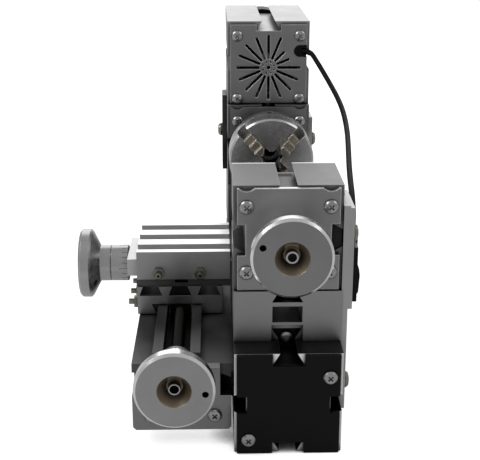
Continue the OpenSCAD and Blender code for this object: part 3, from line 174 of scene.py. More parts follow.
class Finishes:
    """Every finish of the lathe."""

    grey = Finish("grey_anodised", (0.25, 0.25, 0.252), 0.42, wear_and_highlight=0.8, **BLASTED)
    # High edge amount and near-white colour: painted highlight along the covers' top edges, partly wear.
    cover = Finish("grey_covers", (0.28, 0.28, 0.282), 0.4, wear_and_highlight=1.1, wear_and_highlight_color=(0.9, 0.9, 0.9),
                   edge=0.7 * MM, **BLASTED)
    tail_grey = Finish("grey_tailstock", (0.19, 0.19, 0.192), 0.42, wear_and_highlight=0.8, **BLASTED)
    raiser = Finish("grey_raisers", (0.31, 0.31, 0.312), 0.42, wear_and_highlight=0.6, **BLASTED)
    dark_grey = Finish("dark_grey_anodised", (0.24, 0.24, 0.242), 0.45, wear_and_highlight=0.6, **BLASTED)
    silver = Finish("silver_anodised", (0.36, 0.36, 0.362), 0.36, grain=Grain.ALONG_X, pitch=0.2 * MM,
                    depth=0.0015 * MM)
    cross_silver = Finish("silver_cross_slide", (0.36, 0.36, 0.362), 0.34, grain=Grain.ALONG_Y,
                          pitch=0.22 * MM, depth=0.0018 * MM, wear_and_highlight=0.6, recess_shade=0.1)
    black = Finish("black_anodised", (0.11, 0.11, 0.11), 0.42, grain=Grain.ALONG_X, wear_and_highlight=0.35,
                   wear_and_highlight_color=(0.4, 0.4, 0.41), smudge=0.12)
    bed = replace(black, name="black_bed", color=(0.028, 0.028, 0.029))
    turned = Finish("turned_aluminium", (0.42, 0.42, 0.418), 0.28, grain=Grain.TURNED, pitch=0.16 * MM,
                    depth=0.0022 * MM, recess_shade=0.5)
    polished = Finish("polished_aluminium", (0.78, 0.78, 0.775), 0.22, grain=Grain.TURNED, pitch=0.16 * MM,
                      depth=0.0018 * MM, recess_shade=0.3)
    bracket = Finish("silver_brackets", (0.55, 0.55, 0.552), 0.38, pitch=0.3 * MM, depth=0.003 * MM, wear_and_highlight=0.4,
                     recess_shade=0.5)
    # Near-white edge colour: painted highlight on the chuck's rims, partly wear.
    chuck = Finish("ground_chuck_steel", (0.5, 0.5, 0.495), 0.25, grain=Grain.TURNED, pitch=0.2 * MM,
                   depth=0.0012 * MM, wear_and_highlight=1.0, wear_and_highlight_color=(0.95, 0.95, 0.95), edge=0.3 * MM, recess_shade=0.6)
    steel = Finish("bright_steel", (0.45, 0.45, 0.452), 0.22, grain=Grain.TURNED, pitch=0.12 * MM,
                   depth=0.001 * MM, wear_and_highlight=0.2)
    # Near black: oil on the feed screws and painted shade between the thread's turns.
    oiled_and_shaded = Finish("oiled_shaded_steel", (0.035, 0.034, 0.032), 0.34, grain=Grain.TURNED, pitch=0.12 * MM,
                   depth=0.001 * MM, wear_and_highlight=0.1, wear_and_highlight_color=(0.2, 0.2, 0.2))
    screws = Finish("zinc_screws", (0.38, 0.38, 0.375), 0.24, pitch=0.5 * MM, recess_shade=0.5)
    nickel = Finish("nickel_screws", (0.27, 0.26, 0.22), 0.22, pitch=0.5 * MM, wear_and_highlight=0.2,
                    wear_and_highlight_color=(0.7, 0.65, 0.5), recess_shade=1.0)
    # High edge amount and near-white colour: painted highlight on the jaws' edges, partly wear.
    jaws = Finish("nickel_jaws", (0.56, 0.5, 0.41), 0.24, pitch=0.4 * MM, depth=0.003 * MM, wear_and_highlight=1.3,
                  wear_and_highlight_color=(0.98, 0.96, 0.9), edge=0.4 * MM, recess_shade=0.35)
    strip = Finish("brushed_strip", (0.4, 0.4, 0.405), 0.32, grain=Grain.ALONG_Z, pitch=0.12 * MM,
                   depth=0.0018 * MM)
    bronze = Finish("machined_bronze", (0.09, 0.075, 0.042), 0.33, pitch=0.3 * MM, depth=0.003 * MM,
                    wear_and_highlight_color=(0.25, 0.21, 0.13))
    # Blued steel of the keys and nuts, also put on the motor's can as painted shade behind the vent slots.
    blued_and_shade_black = Finish("blued_steel_and_shade", (0.035, 0.034, 0.033), 0.4, grain=Grain.ALONG_X, pitch=0.3 * MM,
                   depth=0.003 * MM, wear_and_highlight_color=(0.3, 0.29, 0.27))
    plastic = Finish("black_plastic", (0.005, 0.005, 0.005), 0.5, metallic=0.0, grain=Grain.MOULDED,
                     pitch=0.35 * MM, depth=0.012 * MM, wear_and_highlight=0.25, wear_and_highlight_color=(0.06, 0.06, 0.065), shine=0.16)
    glossy = Finish("switch_plastic", (0.005, 0.005, 0.006), 0.25, metallic=0.0, grain=Grain.MOULDED,
                    pitch=0.8 * MM, depth=0.004 * MM, wear_and_highlight=0.15, wear_and_highlight_color=(0.05, 0.05, 0.05), shine=0.14)
    rubber = Finish("black_rubber", (0.006, 0.006, 0.006), 0.5, metallic=0.0, grain=Grain.MOULDED,
                    pitch=0.3 * MM, depth=0.01 * MM, wear_and_highlight=0.0, shine=0.12)


class Effects:
    """Shader node groups that the materials share, each built once."""

    NOISE_MEAN = 0.5
    WEAR_AND_HIGHLIGHT_GAIN = 9.0
    SMUDGE_GAIN = 4.0
    OPEN_LEVEL = 0.8
    # Steepness of the painted shade in grooves and corners.
    RECESS_SHADE_GAIN = 2.4

    def __init__(self) -> None:
        """Builds the groups."""
        self.edges = self._edges()
        self.lines = self._lines()
        self.rings = self._rings()
        self.smudges = self._smudges()
        self.zone = self._zone()
        self.recess_shade = self._recess_shade()

    @staticmethod
    def _start(name: str, inputs: dict[str, float | Point], outputs: dict[str, str]) -> tuple:
        """Starts a group with named sockets.

        Args:
            name: Name of the group.
            inputs: Each socket's default, a number or a vector.
            outputs: Socket name to its type.

        Returns:
            The group, its input node and its output node.
        """
        group = bpy.data.node_groups.new(name, "ShaderNodeTree")
        for label, value in inputs.items():
            kind = VECTOR if isinstance(value, tuple) else FLOAT
            socket = group.interface.new_socket(label, in_out="INPUT", socket_type=kind)
            socket.default_value = value
        for label, kind in outputs.items():
            group.interface.new_socket(label, in_out="OUTPUT", socket_type=kind)
        return group, group.nodes.new("NodeGroupInput"), group.nodes.new("NodeGroupOutput")

    @staticmethod
    def _place(group: Tree) -> Socket:
        """Adds a coordinates node.

        Args:
            group: The tree that gets the node.

        Returns:
            The point's place on the lathe, in metres.
        """
        return group.nodes.new("ShaderNodeTexCoord").outputs["Object"]

    def _edges(self) -> Tree:
        """Returns the group that rounds edges a little and masks them for wear and painted highlight."""
        group, start, end = self._start(
            "edge_wear_and_highlight",
            {"Radius": 0.2 * MM, "Amount": 0.5}, {"Mask": FLOAT, "Normal": VECTOR})
        bevel = group.nodes.new("ShaderNodeBevel")
        bevel.samples = 4
        group.links.new(start.outputs["Radius"], bevel.inputs["Radius"])
        geometry = group.nodes.new("ShaderNodeNewGeometry")
        dot = maths(group, "DOT_PRODUCT", bevel.outputs[0], geometry.outputs["Normal"], kind=VECTORS)
        bend = maths(group, "SUBTRACT", 1.0, dot)
        noise = group.nodes.new("ShaderNodeTexNoise")
        noise.inputs["Scale"].default_value = 160.0
        noise.inputs["Detail"].default_value = 3.0
        group.links.new(self._place(group), noise.inputs["Vector"])
        patch = maths(group, "MULTIPLY", noise.outputs["Fac"], self.WEAR_AND_HIGHLIGHT_GAIN)
        gain = maths(group, "MULTIPLY", patch, start.outputs["Amount"])
        mask = maths(group, "MULTIPLY", bend, gain, clamp=True)
        group.links.new(mask, end.inputs["Mask"])
        group.links.new(bevel.outputs[0], end.inputs["Normal"])
        return group

    def _lines(self) -> Tree:
        """Returns the group that gives the height of grains or of lines drawn in one direction."""
        group, start, end = self._start(
            "drawn_lines", {"Density": (4000.0, 4000.0, 4000.0), "Depth": 2e-6},
            {"Height": FLOAT, "Value": FLOAT})
        scaled = maths(group, "MULTIPLY", self._place(group), start.outputs["Density"], kind=VECTORS)
        noise = group.nodes.new("ShaderNodeTexNoise")
        noise.inputs["Scale"].default_value = 1.0
        noise.inputs["Detail"].default_value = 2.0
        group.links.new(scaled, noise.inputs["Vector"])
        centred = maths(group, "SUBTRACT", noise.outputs["Fac"], self.NOISE_MEAN)
        height = maths(group, "MULTIPLY", centred, start.outputs["Depth"])
        group.links.new(height, end.inputs["Height"])
        group.links.new(centred, end.inputs["Value"])
        return group

    def _rings(self) -> Tree:
        """Returns the group that gives the height of the fine rings left by turning."""
        group, start, end = self._start(
            "turning_rings", {"Centre": ORIGIN, "Across": ROUND_X, "Density": 6000.0, "Depth": 2e-6},
            {"Height": FLOAT, "Value": FLOAT})
        offset = maths(group, "SUBTRACT", self._place(group), start.outputs["Centre"], kind=VECTORS)
        across = maths(group, "MULTIPLY", offset, start.outputs["Across"], kind=VECTORS)
        radius = maths(group, "LENGTH", across, kind=VECTORS)
        total = maths(group, "LENGTH", offset, kind=VECTORS)
        both = maths(group, "ADD", radius, total)
        noise = group.nodes.new("ShaderNodeTexNoise")
        noise.noise_dimensions = "1D"
        noise.inputs["Scale"].default_value = 1.0
        noise.inputs["Detail"].default_value = 2.0
        group.links.new(maths(group, "MULTIPLY", both, start.outputs["Density"]), noise.inputs["W"])
        centred = maths(group, "SUBTRACT", noise.outputs["Fac"], self.NOISE_MEAN)
        group.links.new(maths(group, "MULTIPLY", centred, start.outputs["Depth"]), end.inputs["Height"])
        group.links.new(centred, end.inputs["Value"])
        return group

    def _smudges(self) -> Tree:
        """Returns the group that varies a surface over a few centimetres, as oil and fingers do."""
        group, start, end = self._start("smudges", {"Amount": 0.1}, {"Value": FLOAT, "Tone": FLOAT})
        noise = group.nodes.new("ShaderNodeTexNoise")
        noise.inputs["Scale"].default_value = 60.0
        noise.inputs["Detail"].default_value = 5.0
        noise.inputs["Roughness"].default_value = 0.6
        group.links.new(self._place(group), noise.inputs["Vector"])
        centred = maths(group, "SUBTRACT", noise.outputs["Fac"], self.NOISE_MEAN)
        value = maths(group, "MULTIPLY", centred, start.outputs["Amount"])
        doubled = maths(group, "MULTIPLY", value, self.SMUDGE_GAIN)
        group.links.new(doubled, end.inputs["Value"])
        group.links.new(maths(group, "ADD", doubled, 1.0), end.inputs["Tone"])
        return group

    def _recess_shade(self) -> Tree:
        """Returns the group that masks grooves and inner corners for painted shade."""
        group, start, end = self._start("painted_recess_shade", {"Amount": 0.9}, {"Mask": FLOAT})
        open_sky = group.nodes.new("ShaderNodeAmbientOcclusion")
        open_sky.samples = 6
        open_sky.inputs["Distance"].default_value = 6 * MM
        closed = maths(group, "SUBTRACT", self.OPEN_LEVEL, open_sky.outputs["AO"])
        steep = maths(group, "MULTIPLY", closed, self.RECESS_SHADE_GAIN, clamp=True)
        group.links.new(maths(group, "MULTIPLY", steep, start.outputs["Amount"]), end.inputs["Mask"])
        return group

    def _zone(self) -> Tree:
        """Returns the group that masks a zone between two limits along a direction and inside a radius."""
        group, start, end = self._start(
            "zone_mask",
            {"Along": (1.0, 0.0, 0.0), "Low": -FAR, "High": FAR, "Centre": ORIGIN, "Across": ROUND_X,
             "Radius": FAR},
            {"Mask": FLOAT})
        place = self._place(group)
        along = maths(group, "DOT_PRODUCT", place, start.outputs["Along"], kind=VECTORS)
        above = maths(group, "GREATER_THAN", along, start.outputs["Low"])
        below = maths(group, "LESS_THAN", along, start.outputs["High"])
        offset = maths(group, "SUBTRACT", place, start.outputs["Centre"], kind=VECTORS)
        across = maths(group, "MULTIPLY", offset, start.outputs["Across"], kind=VECTORS)
        radius = maths(group, "LENGTH", across, kind=VECTORS)
        inside = maths(group, "LESS_THAN", radius, start.outputs["Radius"])
        both = maths(group, "MULTIPLY", above, below)
        group.links.new(maths(group, "MULTIPLY", both, inside), end.inputs["Mask"])
        return group


class PaintShop:
    """Makes the materials and puts them on nodes and pieces."""

    # Share of the base colour left where the painted shade is full.
    RECESS_SHADE_TONE = 0.04
    GRAIN_ROUGHNESS = 0.12
    STRETCH = 0.02

    def __init__(self) -> None:
        """Builds the shared effects."""
        self.effects = Effects()
        self.made: dict[tuple, bpy.types.Material] = {}

    @staticmethod
    def _add(tree: Tree, group: Tree, **values: object) -> bpy.types.Node:
        """Places a shared effect in a material.

        Args:
            tree: The material's tree.
            group: The effect.
            **values: Values of its inputs.

        Returns:
            The group node.
        """
        node = tree.nodes.new("ShaderNodeGroup")
        node.node_tree = group
        for label, value in values.items():
            node.inputs[label].default_value = value
        return node

    @staticmethod
    def _mix(tree: Tree, mask: Socket, a: Color | Socket, b: Color | Socket) -> Socket:
        """Mixes two colours by a mask.

        Args:
            tree: The material's tree.
            mask: Share of the second colour.
            a: First colour or socket.
            b: Second colour or socket.

        Returns:
            The colour socket.
        """
        node = tree.nodes.new("ShaderNodeMix")
        node.data_type = "RGBA"
        tree.links.new(mask, node.inputs["Factor"])
        for socket, value in ((node.inputs[6], a), (node.inputs[7], b)):
            if isinstance(value, tuple):
                socket.default_value = (*value, 1.0)
            else:
                tree.links.new(value, socket)
        return node.outputs[2]

    def material(self, finish: Finish, turning: Turning | None = None,
                 zones: tuple[Zone, ...] = ()) -> bpy.types.Material:
        """Makes the material of a finish, or returns it if it is there.

        Args:
            finish: The finish.
            turning: The axis of a turned part.
            zones: Parts of the node with other colours.

        Returns:
            The material.
        """
        key = (finish, turning, zones)
        if key in self.made:
            return self.made[key]
        material = bpy.data.materials.new(finish.name)
        material.use_nodes = True
        tree = material.node_tree
        shader = tree.nodes["Principled BSDF"]
        shader.inputs["Metallic"].default_value = finish.metallic
        shader.inputs["Specular IOR Level"].default_value = finish.shine
        # Paler edges: wear, and painted highlight where a finish has a high amount and a near-white colour.
        edges = self._add(tree, self.effects.edges, Amount=finish.wear_and_highlight, Radius=finish.edge)
        color = self._mix(tree, edges.outputs["Mask"], finish.color, finish.wear_and_highlight_color)
        rougher = []
        for zone in zones:
            values = {"Along": zone.along, "Low": zone.low, "High": zone.high, "Radius": zone.radius}
            if zone.turning is not None:
                values |= {"Centre": zone.turning.centre, "Across": zone.turning.across}
            mask = self._add(tree, self.effects.zone, **values)
            color = self._mix(tree, mask.outputs["Mask"], color, zone.color)
            if zone.rougher:
                rougher.append((mask.outputs["Mask"], zone.rougher))
        # Painted shade: grooves and inner corners darken towards a near-black copy of the base colour.
        recess_shade = self._add(tree, self.effects.recess_shade, Amount=finish.recess_shade)
        recess_shade_color = tuple(self.RECESS_SHADE_TONE * c for c in finish.color)
        color = self._mix(tree, recess_shade.outputs["Mask"], color, recess_shade_color)
        smudge = self._add(tree, self.effects.smudges, Amount=finish.smudge)
        color = maths(tree, "SCALE", color, smudge.outputs["Tone"], kind=VECTORS)
        tree.links.new(color, shader.inputs["Base Color"])
        grain = self._grain(tree, finish, turning)
        level = maths(tree, "ADD", smudge.outputs["Value"], finish.roughness)
        for mask, amount in rougher:
            level = maths(tree, "MULTIPLY_ADD", mask, amount, level)
        rough = maths(tree, "MULTIPLY_ADD", grain.outputs["Value"], self.GRAIN_ROUGHNESS, level, clamp=True)
        tree.links.new(rough, shader.inputs["Roughness"])
        bump = tree.nodes.new("ShaderNodeBump")
        bump.inputs["Distance"].default_value = 1.0
        tree.links.new(grain.outputs["Height"], bump.inputs["Height"])
        tree.links.new(edges.outputs["Normal"], bump.inputs["Normal"])
        tree.links.new(bump.outputs[0], shader.inputs["Normal"])
        self.made[key] = material
        return material

    def _grain(self, tree: Tree, finish: Finish, turning: Turning | None) -> bpy.types.Node:
        """Places the fine lines or rings of a finish.

        Args:
            tree: The material's tree.
            finish: The finish.
            turning: The axis of a turned part.

        Returns:
            A node with Height and Value.
        """
        density = 1.0 / finish.pitch
        if turning is not None:
            return self._add(tree, self.effects.rings, Centre=turning.centre, Across=turning.across,
                             Density=density, Depth=finish.depth)
        thin = self.STRETCH
        stretch = {Grain.ALONG_X: (thin, 1, 1), Grain.ALONG_Y: (1, thin, 1), Grain.ALONG_Z: (1, 1, thin)}
        direction = stretch.get(finish.grain, (1, 1, 1))
        return self._add(tree, self.effects.lines, Density=tuple(density * d for d in direction),
                         Depth=finish.depth)

    def dress(self, names: tuple[str, ...], finish: Finish, turning: Turning | None = None,
              zones: tuple[Zone, ...] = ()) -> None:
        """Gives CAD nodes a finish.

        Args:
            names: The nodes.
            finish: Their finish.
            turning: The axis of turned parts.
            zones: Parts with other colours.
        """
        material = self.material(finish, turning, zones)
        for name in names:
            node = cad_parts[name]
            node.data.materials.clear()
            node.data.materials.append(material)
            log.info("dressed %s as %s", name, finish.name)

    def piece(self, name: str, mesh: bpy.types.ID, body: str, slot: str, finish: Finish,
              turning: Turning | None = None, zones: tuple[Zone, ...] = ()) -> bpy.types.Object:
        """Makes a piece from a mesh or curve, dresses it and lets it ride on a body.

        Args:
            name: The piece's name.
            mesh: Its mesh or curve.
            body: The body that carries it.
            slot: The record's slot of its finish; not used.
            finish: Its finish.
            turning: The axis of a turned part.
            zones: Parts with other colours.

        Returns:
            The piece.
        """
        piece = bpy.data.objects.new(name, mesh)
        bpy.context.scene.collection.objects.link(piece)
        mesh.materials.append(self.material(finish, turning, zones))
        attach(piece, body)
        log.info("made %s on %s", name, body)
        return piece


class Lathe:
    """Small helpers that make and place meshes."""

    SHARP = math.radians(35.0)

    @staticmethod
    def across(direction: Point) -> Point:
        """Returns 1 for each axis square to a direction along an axis, and 0 for its own."""
        return tuple(1.0 - abs(d) for d in direction)

    @staticmethod
    def placed(origin: Point, direction: Point) -> Matrix:
        """Gives the move from the Z axis to an axis of the lathe.

        Args:
            origin: Where the origin goes.
            direction: Where +Z turns to.

        Returns:
            The matrix.
        """
        turned = Vector((0, 0, 1)).rotation_difference(Vector(direction)).to_matrix().to_4x4()
        return Matrix.Translation(Vector(origin)) @ turned

    @staticmethod
    def turn(mesh: bmesh.types.BMesh, outline: Outline, sides: int) -> None:
        """Turns an outline of radius and height round the Z axis.

        Args:
            mesh: The mesh that gets the faces.
            outline: Points of the outline.
            sides: Number of steps round the axis.
        """
        rows = []
        for r, z in outline:
            if r:
                turns = [2 * math.pi * k / sides for k in range(sides)]
                rows.append([mesh.verts.new((r * math.cos(turn), r * math.sin(turn), z)) for turn in turns])
            else:
                rows.append([mesh.verts.new((0, 0, z))] * sides)
        for low, high in zip(rows, rows[1:]):
            for k in range(sides):
                ring = []
                for vert in (low[k], low[(k + 1) % sides], high[(k + 1) % sides], high[k]):
                    if vert not in ring:
                        ring.append(vert)
                if len(ring) > 2:
                    mesh.faces.new(ring)

    @staticmethod
    def box(mesh: bmesh.types.BMesh, low: Point, high: Point, place: Matrix) -> None:
        """Adds a box between two corners, moved by a matrix.

        Args:
            mesh: The mesh that gets the box.
            low: Lowest corner.
            high: Highest corner.
            place: Where it goes.
        """
        size = [h - l for l, h in zip(low, high)]
        middle = Vector([(h + l) / 2 for l, h in zip(low, high)])
        fitted = place @ Matrix.Translation(middle) @ Matrix.Diagonal((*size, 1.0))
        bmesh.ops.create_cube(mesh, size=1.0, matrix=fitted)

    @staticmethod
    def finished(mesh: bmesh.types.BMesh, name: str) -> bpy.types.Mesh:
        """Turns the working mesh into a mesh with smooth faces and sharp corners.

        Args:
            mesh: The working mesh.
            name: Name of the mesh.

        Returns:
            The mesh.
        """
        bmesh.ops.recalc_face_normals(mesh, faces=mesh.faces)
        for face in mesh.faces:
            face.smooth = True
        for edge in mesh.edges:
            if len(edge.link_faces) == 2 and edge.calc_face_angle() > Lathe.SHARP:
                edge.smooth = False
        data = bpy.data.meshes.new(name)
        mesh.to_mesh(data)
        mesh.free()
        return data


@dataclass
class FeedScrew:
    """A feed screw with a cut thread, a neck and a hollow end.

    Args:
        name: The piece's name.
        node: The CAD node that it stands for.
        body: The body that carries it.
        origin: Where the thread starts, on the axis.
        direction: Unit vector towards its wheel.
        thread: Length of the thread.
        length: Whole length.
        pitch: Length of one turn of the thread.
        profile: Share of the pitch and radius of each corner of the thread.
        plug: Radius and height of each corner of the plug in its start.
        plain: Radius and distance from the end of each corner of the plain part.
        sides: Steps in one turn of the thread.
        plain_sides: Steps round the plug and the plain part.
        bright_length: Length of the clean end.
        bright: Colour of the clean end.
    """

    name: str
    node: str
    body: str
    origin: Point
    direction: Point
    thread: float
    length: float
    pitch: float = 1.0 * MM
    profile: Outline = ((0.0, 2.42 * MM), (0.12, 2.42 * MM), (0.5, 3.0 * MM), (0.62, 3.0 * MM))
    plug: Outline = ((0.0, 0.2 * MM), (2.44 * MM, 0.2 * MM), (2.44 * MM, 1.0 * MM))
    plain: Outline = ((3.0 * MM, 10.8 * MM), (2.8 * MM, 10.8 * MM), (2.8 * MM, 0.25 * MM), (2.6 * MM, 0.0),
                      (2.2 * MM, 0.0), (2.0 * MM, 0.25 * MM), (2.0 * MM, 6.0 * MM), (0.0, 6.0 * MM))
    sides: int = 24
    plain_sides: int = 40
    bright_length: float = 10.0 * MM
    bright: Color = (0.5, 0.5, 0.5)

    def mesh(self) -> bpy.types.Mesh:
        """Returns the screw's mesh, drawn along +Z and turned to its place."""
        mesh = bmesh.new()
        last = len(self.profile) - 1
        steps = int(self.thread / self.pitch) * self.sides
        rows = []
        for i in range(steps + 1):
            turn = 2 * math.pi * i / self.sides
            row = []
            for share, r in self.profile:
                z = self.pitch * (i / self.sides + share)
                row.append(mesh.verts.new((r * math.cos(turn), r * math.sin(turn), z)))
            rows.append(row)
        for i, (here, after) in enumerate(zip(rows, rows[1:])):
            quads = [(here[k], after[k], after[k + 1], here[k + 1]) for k in range(last)]
            if i + self.sides + 1 <= steps:
                quads.append((here[last], after[last], rows[i + self.sides + 1][0], rows[i + self.sides][0]))
            for quad in quads:
                mesh.faces.new(quad)
        start = self.thread - 0.5 * self.pitch
        crest = self.plain[0][0]
        ends = ((r, self.length - back) for r, back in self.plain)
        Lathe.turn(mesh, ((0.0, start), (crest, start), *ends), self.plain_sides)
        Lathe.turn(mesh, self.plug, self.plain_sides)
        mesh.transform(Lathe.placed(self.origin, self.direction))
        return Lathe.finished(mesh, self.name)

    def build(self, shop: PaintShop) -> None:
        """Makes the screw.

        Args:
            shop: The paint shop.
        """
        start = Vector(self.direction).dot(Vector(self.origin))
        tip = Zone(self.bright, self.direction, start + self.length - self.bright_length)
        # The thread's near-black finish is oil and painted shade; its end keeps a steel colour.
        piece = shop.piece(self.name, self.mesh(), self.body, "bright_steel", Finishes.oiled_and_shaded,
                           Turning(self.origin, Lathe.across(self.direction)), (tip,))
        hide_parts(self.node)


@dataclass
class Handwheel:
    """A handwheel's finish and the marks on its collar.

    Args:
        node: The wheel's CAD node.
        body: The body that carries it.
        face: Where its axis leaves the bracket.
        direction: Unit vector away from the bracket.
        length: From the bracket to the wheel's face.
        hollow: Radius of the hollow.
        faced: Radius of the machined face.
        finish: The wheel's finish.
        shaded_face_grey: Grey of the machined face, darker than the rim as a painted dark reflection.
        cup: Colour in the hollow.
        cup_depth: Depth of the hollow's zone.
        cup_margin: From the face to that zone.
        cup_rougher: What the hollow adds to the roughness.
        hole: Painted shade in the handle's hole, near black.
        hole_angle: Its angle from the top, in degrees.
        hole_radius: Its distance from the axis.
        hole_reach: Radius of the hole's zone.
        hole_margin: From the face to that zone.
        collar: Radius of the collar.
        divisions: Number of marks.
        long_every: Every which mark is long.
        mark_start: From the bracket to the marks.
        long_mark: Length of a long mark.
        short_mark: Length of a short mark.
        mark_half: Half the width of a mark.
        mark_sunk: How deep a mark starts in the collar.
        mark_raised: How far a mark stands out of it.
    """

    node: str
    body: str
    face: Point
    direction: Point
    length: float = WHEEL_LENGTH
    hollow: float = 7.8 * MM
    faced: float = 19.0 * MM
    finish: Finish = Finishes.polished
    shaded_face_grey: float = 0.25
    cup: Color = (0.27, 0.22, 0.16)
    cup_depth: float = 6.2 * MM
    cup_margin: float = 0.05 * MM
    cup_rougher: float = 0.3
    hole: Color = (0.008, 0.008, 0.008)
    hole_angle: float = 68.0
    hole_radius: float = 13.8 * MM
    hole_reach: float = 1.55 * MM
    hole_margin: float = 0.3 * MM
    collar: float = 9.6 * MM
    divisions: int = 20
    long_every: int = 5
    mark_start: float = 0.7 * MM
    long_mark: float = 4.6 * MM
    short_mark: float = 3.0 * MM
    mark_half: float = 0.11 * MM
    mark_sunk: float = 0.05 * MM
    mark_raised: float = 0.015 * MM

    def hole_at(self) -> Point:
        """Returns a point on the axis of the handle's hole."""
        angle = math.radians(self.hole_angle)
        x, y, z = self.face
        side = self.hole_radius * math.sin(angle)
        height = z + self.hole_radius * math.cos(angle)
        return (x, y - side, height) if self.direction[0] else (x + side, y, height)

    def zones(self, turning: Turning) -> tuple[Zone, ...]:
        """Lists the wheel's parts with other colours.

        Args:
            turning: The wheel's axis.

        Returns:
            The machined face with its painted dark reflection, the hollow and the painted shade in the
            handle's hole.
        """
        front = Vector(self.direction).dot(Vector(self.face)) + self.length
        # Painted dark reflection: the machined face is darker than the rim.
        return (Zone((self.shaded_face_grey,) * 3, self.direction, front - SKIN, FAR, turning, self.faced),
                Zone(self.cup, self.direction, front - self.cup_depth, front - self.cup_margin, turning,
                     self.hollow, self.cup_rougher),
                # Painted shade: the handle's hole is near black.
                Zone(self.hole, self.direction, high=front - self.hole_margin,
                     turning=Turning(self.hole_at(), turning.across), radius=self.hole_reach))

    def build(self, shop: PaintShop) -> None:
        """Dresses the wheel and cuts its divisions.

        Args:
            shop: The paint shop.
        """
        turning = Turning(self.face, Lathe.across(self.direction))
        shop.dress((self.node,), self.finish, turning, self.zones(turning))
        mesh = bmesh.new()
        place = Lathe.placed(self.face, self.direction)
        for k in range(self.divisions):
            size = self.short_mark if k % self.long_every else self.long_mark
            spin = Matrix.Rotation(2 * math.pi * k / self.divisions, 4, "Z")
            low = (self.collar - self.mark_sunk, -self.mark_half, self.mark_start)
            high = (self.collar + self.mark_raised, self.mark_half, self.mark_start + size)
            Lathe.box(mesh, low, high, place @ spin)
        name = self.node + "_marks"
        shop.piece(name, Lathe.finished(mesh, name), self.body, "black_plastic", Finishes.plastic)


@dataclass
class MotorCord:
    """The motor's cord, held between the motor's cover and the switch.

    Args:
        route: Points on its middle line, from the motor to the switch.
        diameter: Its thickness.
        steps: Steps of the smooth curve between two points.
    """

    route: tuple[Point, ...] = (
        (-0.0522, 0.02, 0.1574), (-0.0521, 0.023, 0.1572), (-0.05, 0.026, 0.1559),
        (-0.04604, 0.0289, 0.1519), (-0.03807, 0.0326, 0.146), (-0.02812, 0.0359, 0.1404),
        (-0.01617, 0.0384, 0.1356), (-0.00324, 0.0399, 0.1312), (0.01069, 0.0401, 0.1272),
        (0.02562, 0.0394, 0.1238), (0.04055, 0.0381, 0.1207), (0.05548, 0.0366, 0.1178),
        (0.06941, 0.0353, 0.115), (0.08235, 0.0343, 0.1124), (0.09329, 0.0336, 0.1098),
        (0.10026, 0.0331, 0.1076), (0.10662, 0.0326, 0.1046), (0.10982, 0.0322, 0.1018),
        (0.11131, 0.032, 0.099), (0.1117, 0.032, 0.096))
    diameter: float = 3.0 * MM
    steps: int = 6

    def line(self) -> list[Vector]:
        """Returns the cord's middle line, a smooth curve through its route."""
        knots = [Vector(p) for p in self.route]
        knots = [knots[0], *knots, knots[-1]]
        points = []
        for a, b, c, d in zip(knots, knots[1:], knots[2:], knots[3:]):
            for i in range(self.steps):
                t = i / self.steps
                points.append(0.5 * (2 * b + (c - a) * t + (2 * a - 5 * b + 4 * c - d) * t * t
                                     + (3 * b - a - 3 * c + d) * t ** 3))
        return [*points, knots[-1]]

    def build(self, shop: PaintShop) -> None:
        """Args:
            shop: The paint shop.
        """
        points = self.line()
        curve = bpy.data.curves.new("motor_cord_sheath", "CURVE")
        curve.dimensions = "3D"
        curve.bevel_depth = self.diameter / 2
        curve.bevel_resolution = 5
        curve.use_fill_caps = True
        spline = curve.splines.new("POLY")
        spline.points.add(len(points) - 1)
        for knot, point in zip(spline.points, points):
            knot.co = (*point, 1.0)
        spline.use_smooth = True
        piece = shop.piece("motor_cord_sheath", curve, "base", "black_rubber", Finishes.rubber)
        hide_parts("motor_cord")


@dataclass
class Bed:
    """The bed, its caps, the raisers and the keys between the housings.

    Args:
        end: From the middle to the rail's ends.
        bare: Colour of the sawn ends.
    """

    end: float = 148.0 * MM
    bare: Color = (0.95, 0.95, 0.96)

    def build(self, shop: PaintShop) -> None:
        """Dresses the bed's nodes.

        Args:
            shop: The paint shop.
        """
        limit = self.end - SKIN
        ends = (Zone(self.bare, low=limit), Zone(self.bare, high=-limit))
        shop.dress(("bed_rail",), Finishes.bed, zones=ends)
        shop.dress(("bed_end_caps",), Finishes.plastic)
        shop.dress(("tail_raiser", "head_raiser"), Finishes.raiser)
        shop.dress(("stack_keys", "slide_key", "carriage_key", "groove_nuts"), Finishes.blued_and_shade_black)
        shop.dress(("small_screws",), Finishes.screws)
        shop.dress(("strap_bolts", "long_gib_screws", "cross_gib_screws"), Finishes.nickel)


@dataclass
class Headstock:
    """The headstock, its spindle, chuck, motor and belt.

    Args:
        spindle: A point on the spindle's axis.
        motor: A point on the motor's axis.
    """

    spindle: Point = (0.0, 0.0, 100.0 * MM)
    motor: Point = (0.0, 0.0, 150.0 * MM)

    def build(self, shop: PaintShop) -> None:
        """Dresses the headstock's nodes.

        Args:
            shop: The paint shop.
        """
        spin = Turning(self.spindle, ROUND_X)
        motor_spin = Turning(self.motor, ROUND_X)
        shop.dress(("headstock_housing", "headstock_front_cover", "rear_covers"), Finishes.dark_grey)
        shop.dress(("motor_housing",), Finishes.silver)
        shop.dress(("motor_vent_cover",), Finishes.cover)
        shop.dress(("spindle", "spindle_bearings"), Finishes.steel, spin)
        shop.dress(("chuck_body", "chuck_scroll_ring"), Finishes.chuck, spin)
        shop.dress(("chuck_jaw_1", "chuck_jaw_2", "chuck_jaw_3", "chuck_jaw_4"), Finishes.jaws)
        shop.dress(("spindle_pulley",), Finishes.turned, spin)
        shop.dress(("motor_pulley",), Finishes.turned, motor_spin)
        shop.dress(("motor_shaft",), Finishes.steel, motor_spin)
        # Painted shade: the motor's can is near black so that the vent slots look dark.
        shop.dress(("motor_can",), Finishes.blued_and_shade_black)
        shop.dress(("drive_belt",), Finishes.rubber)
        shop.dress(("belt_cover",), Finishes.plastic)


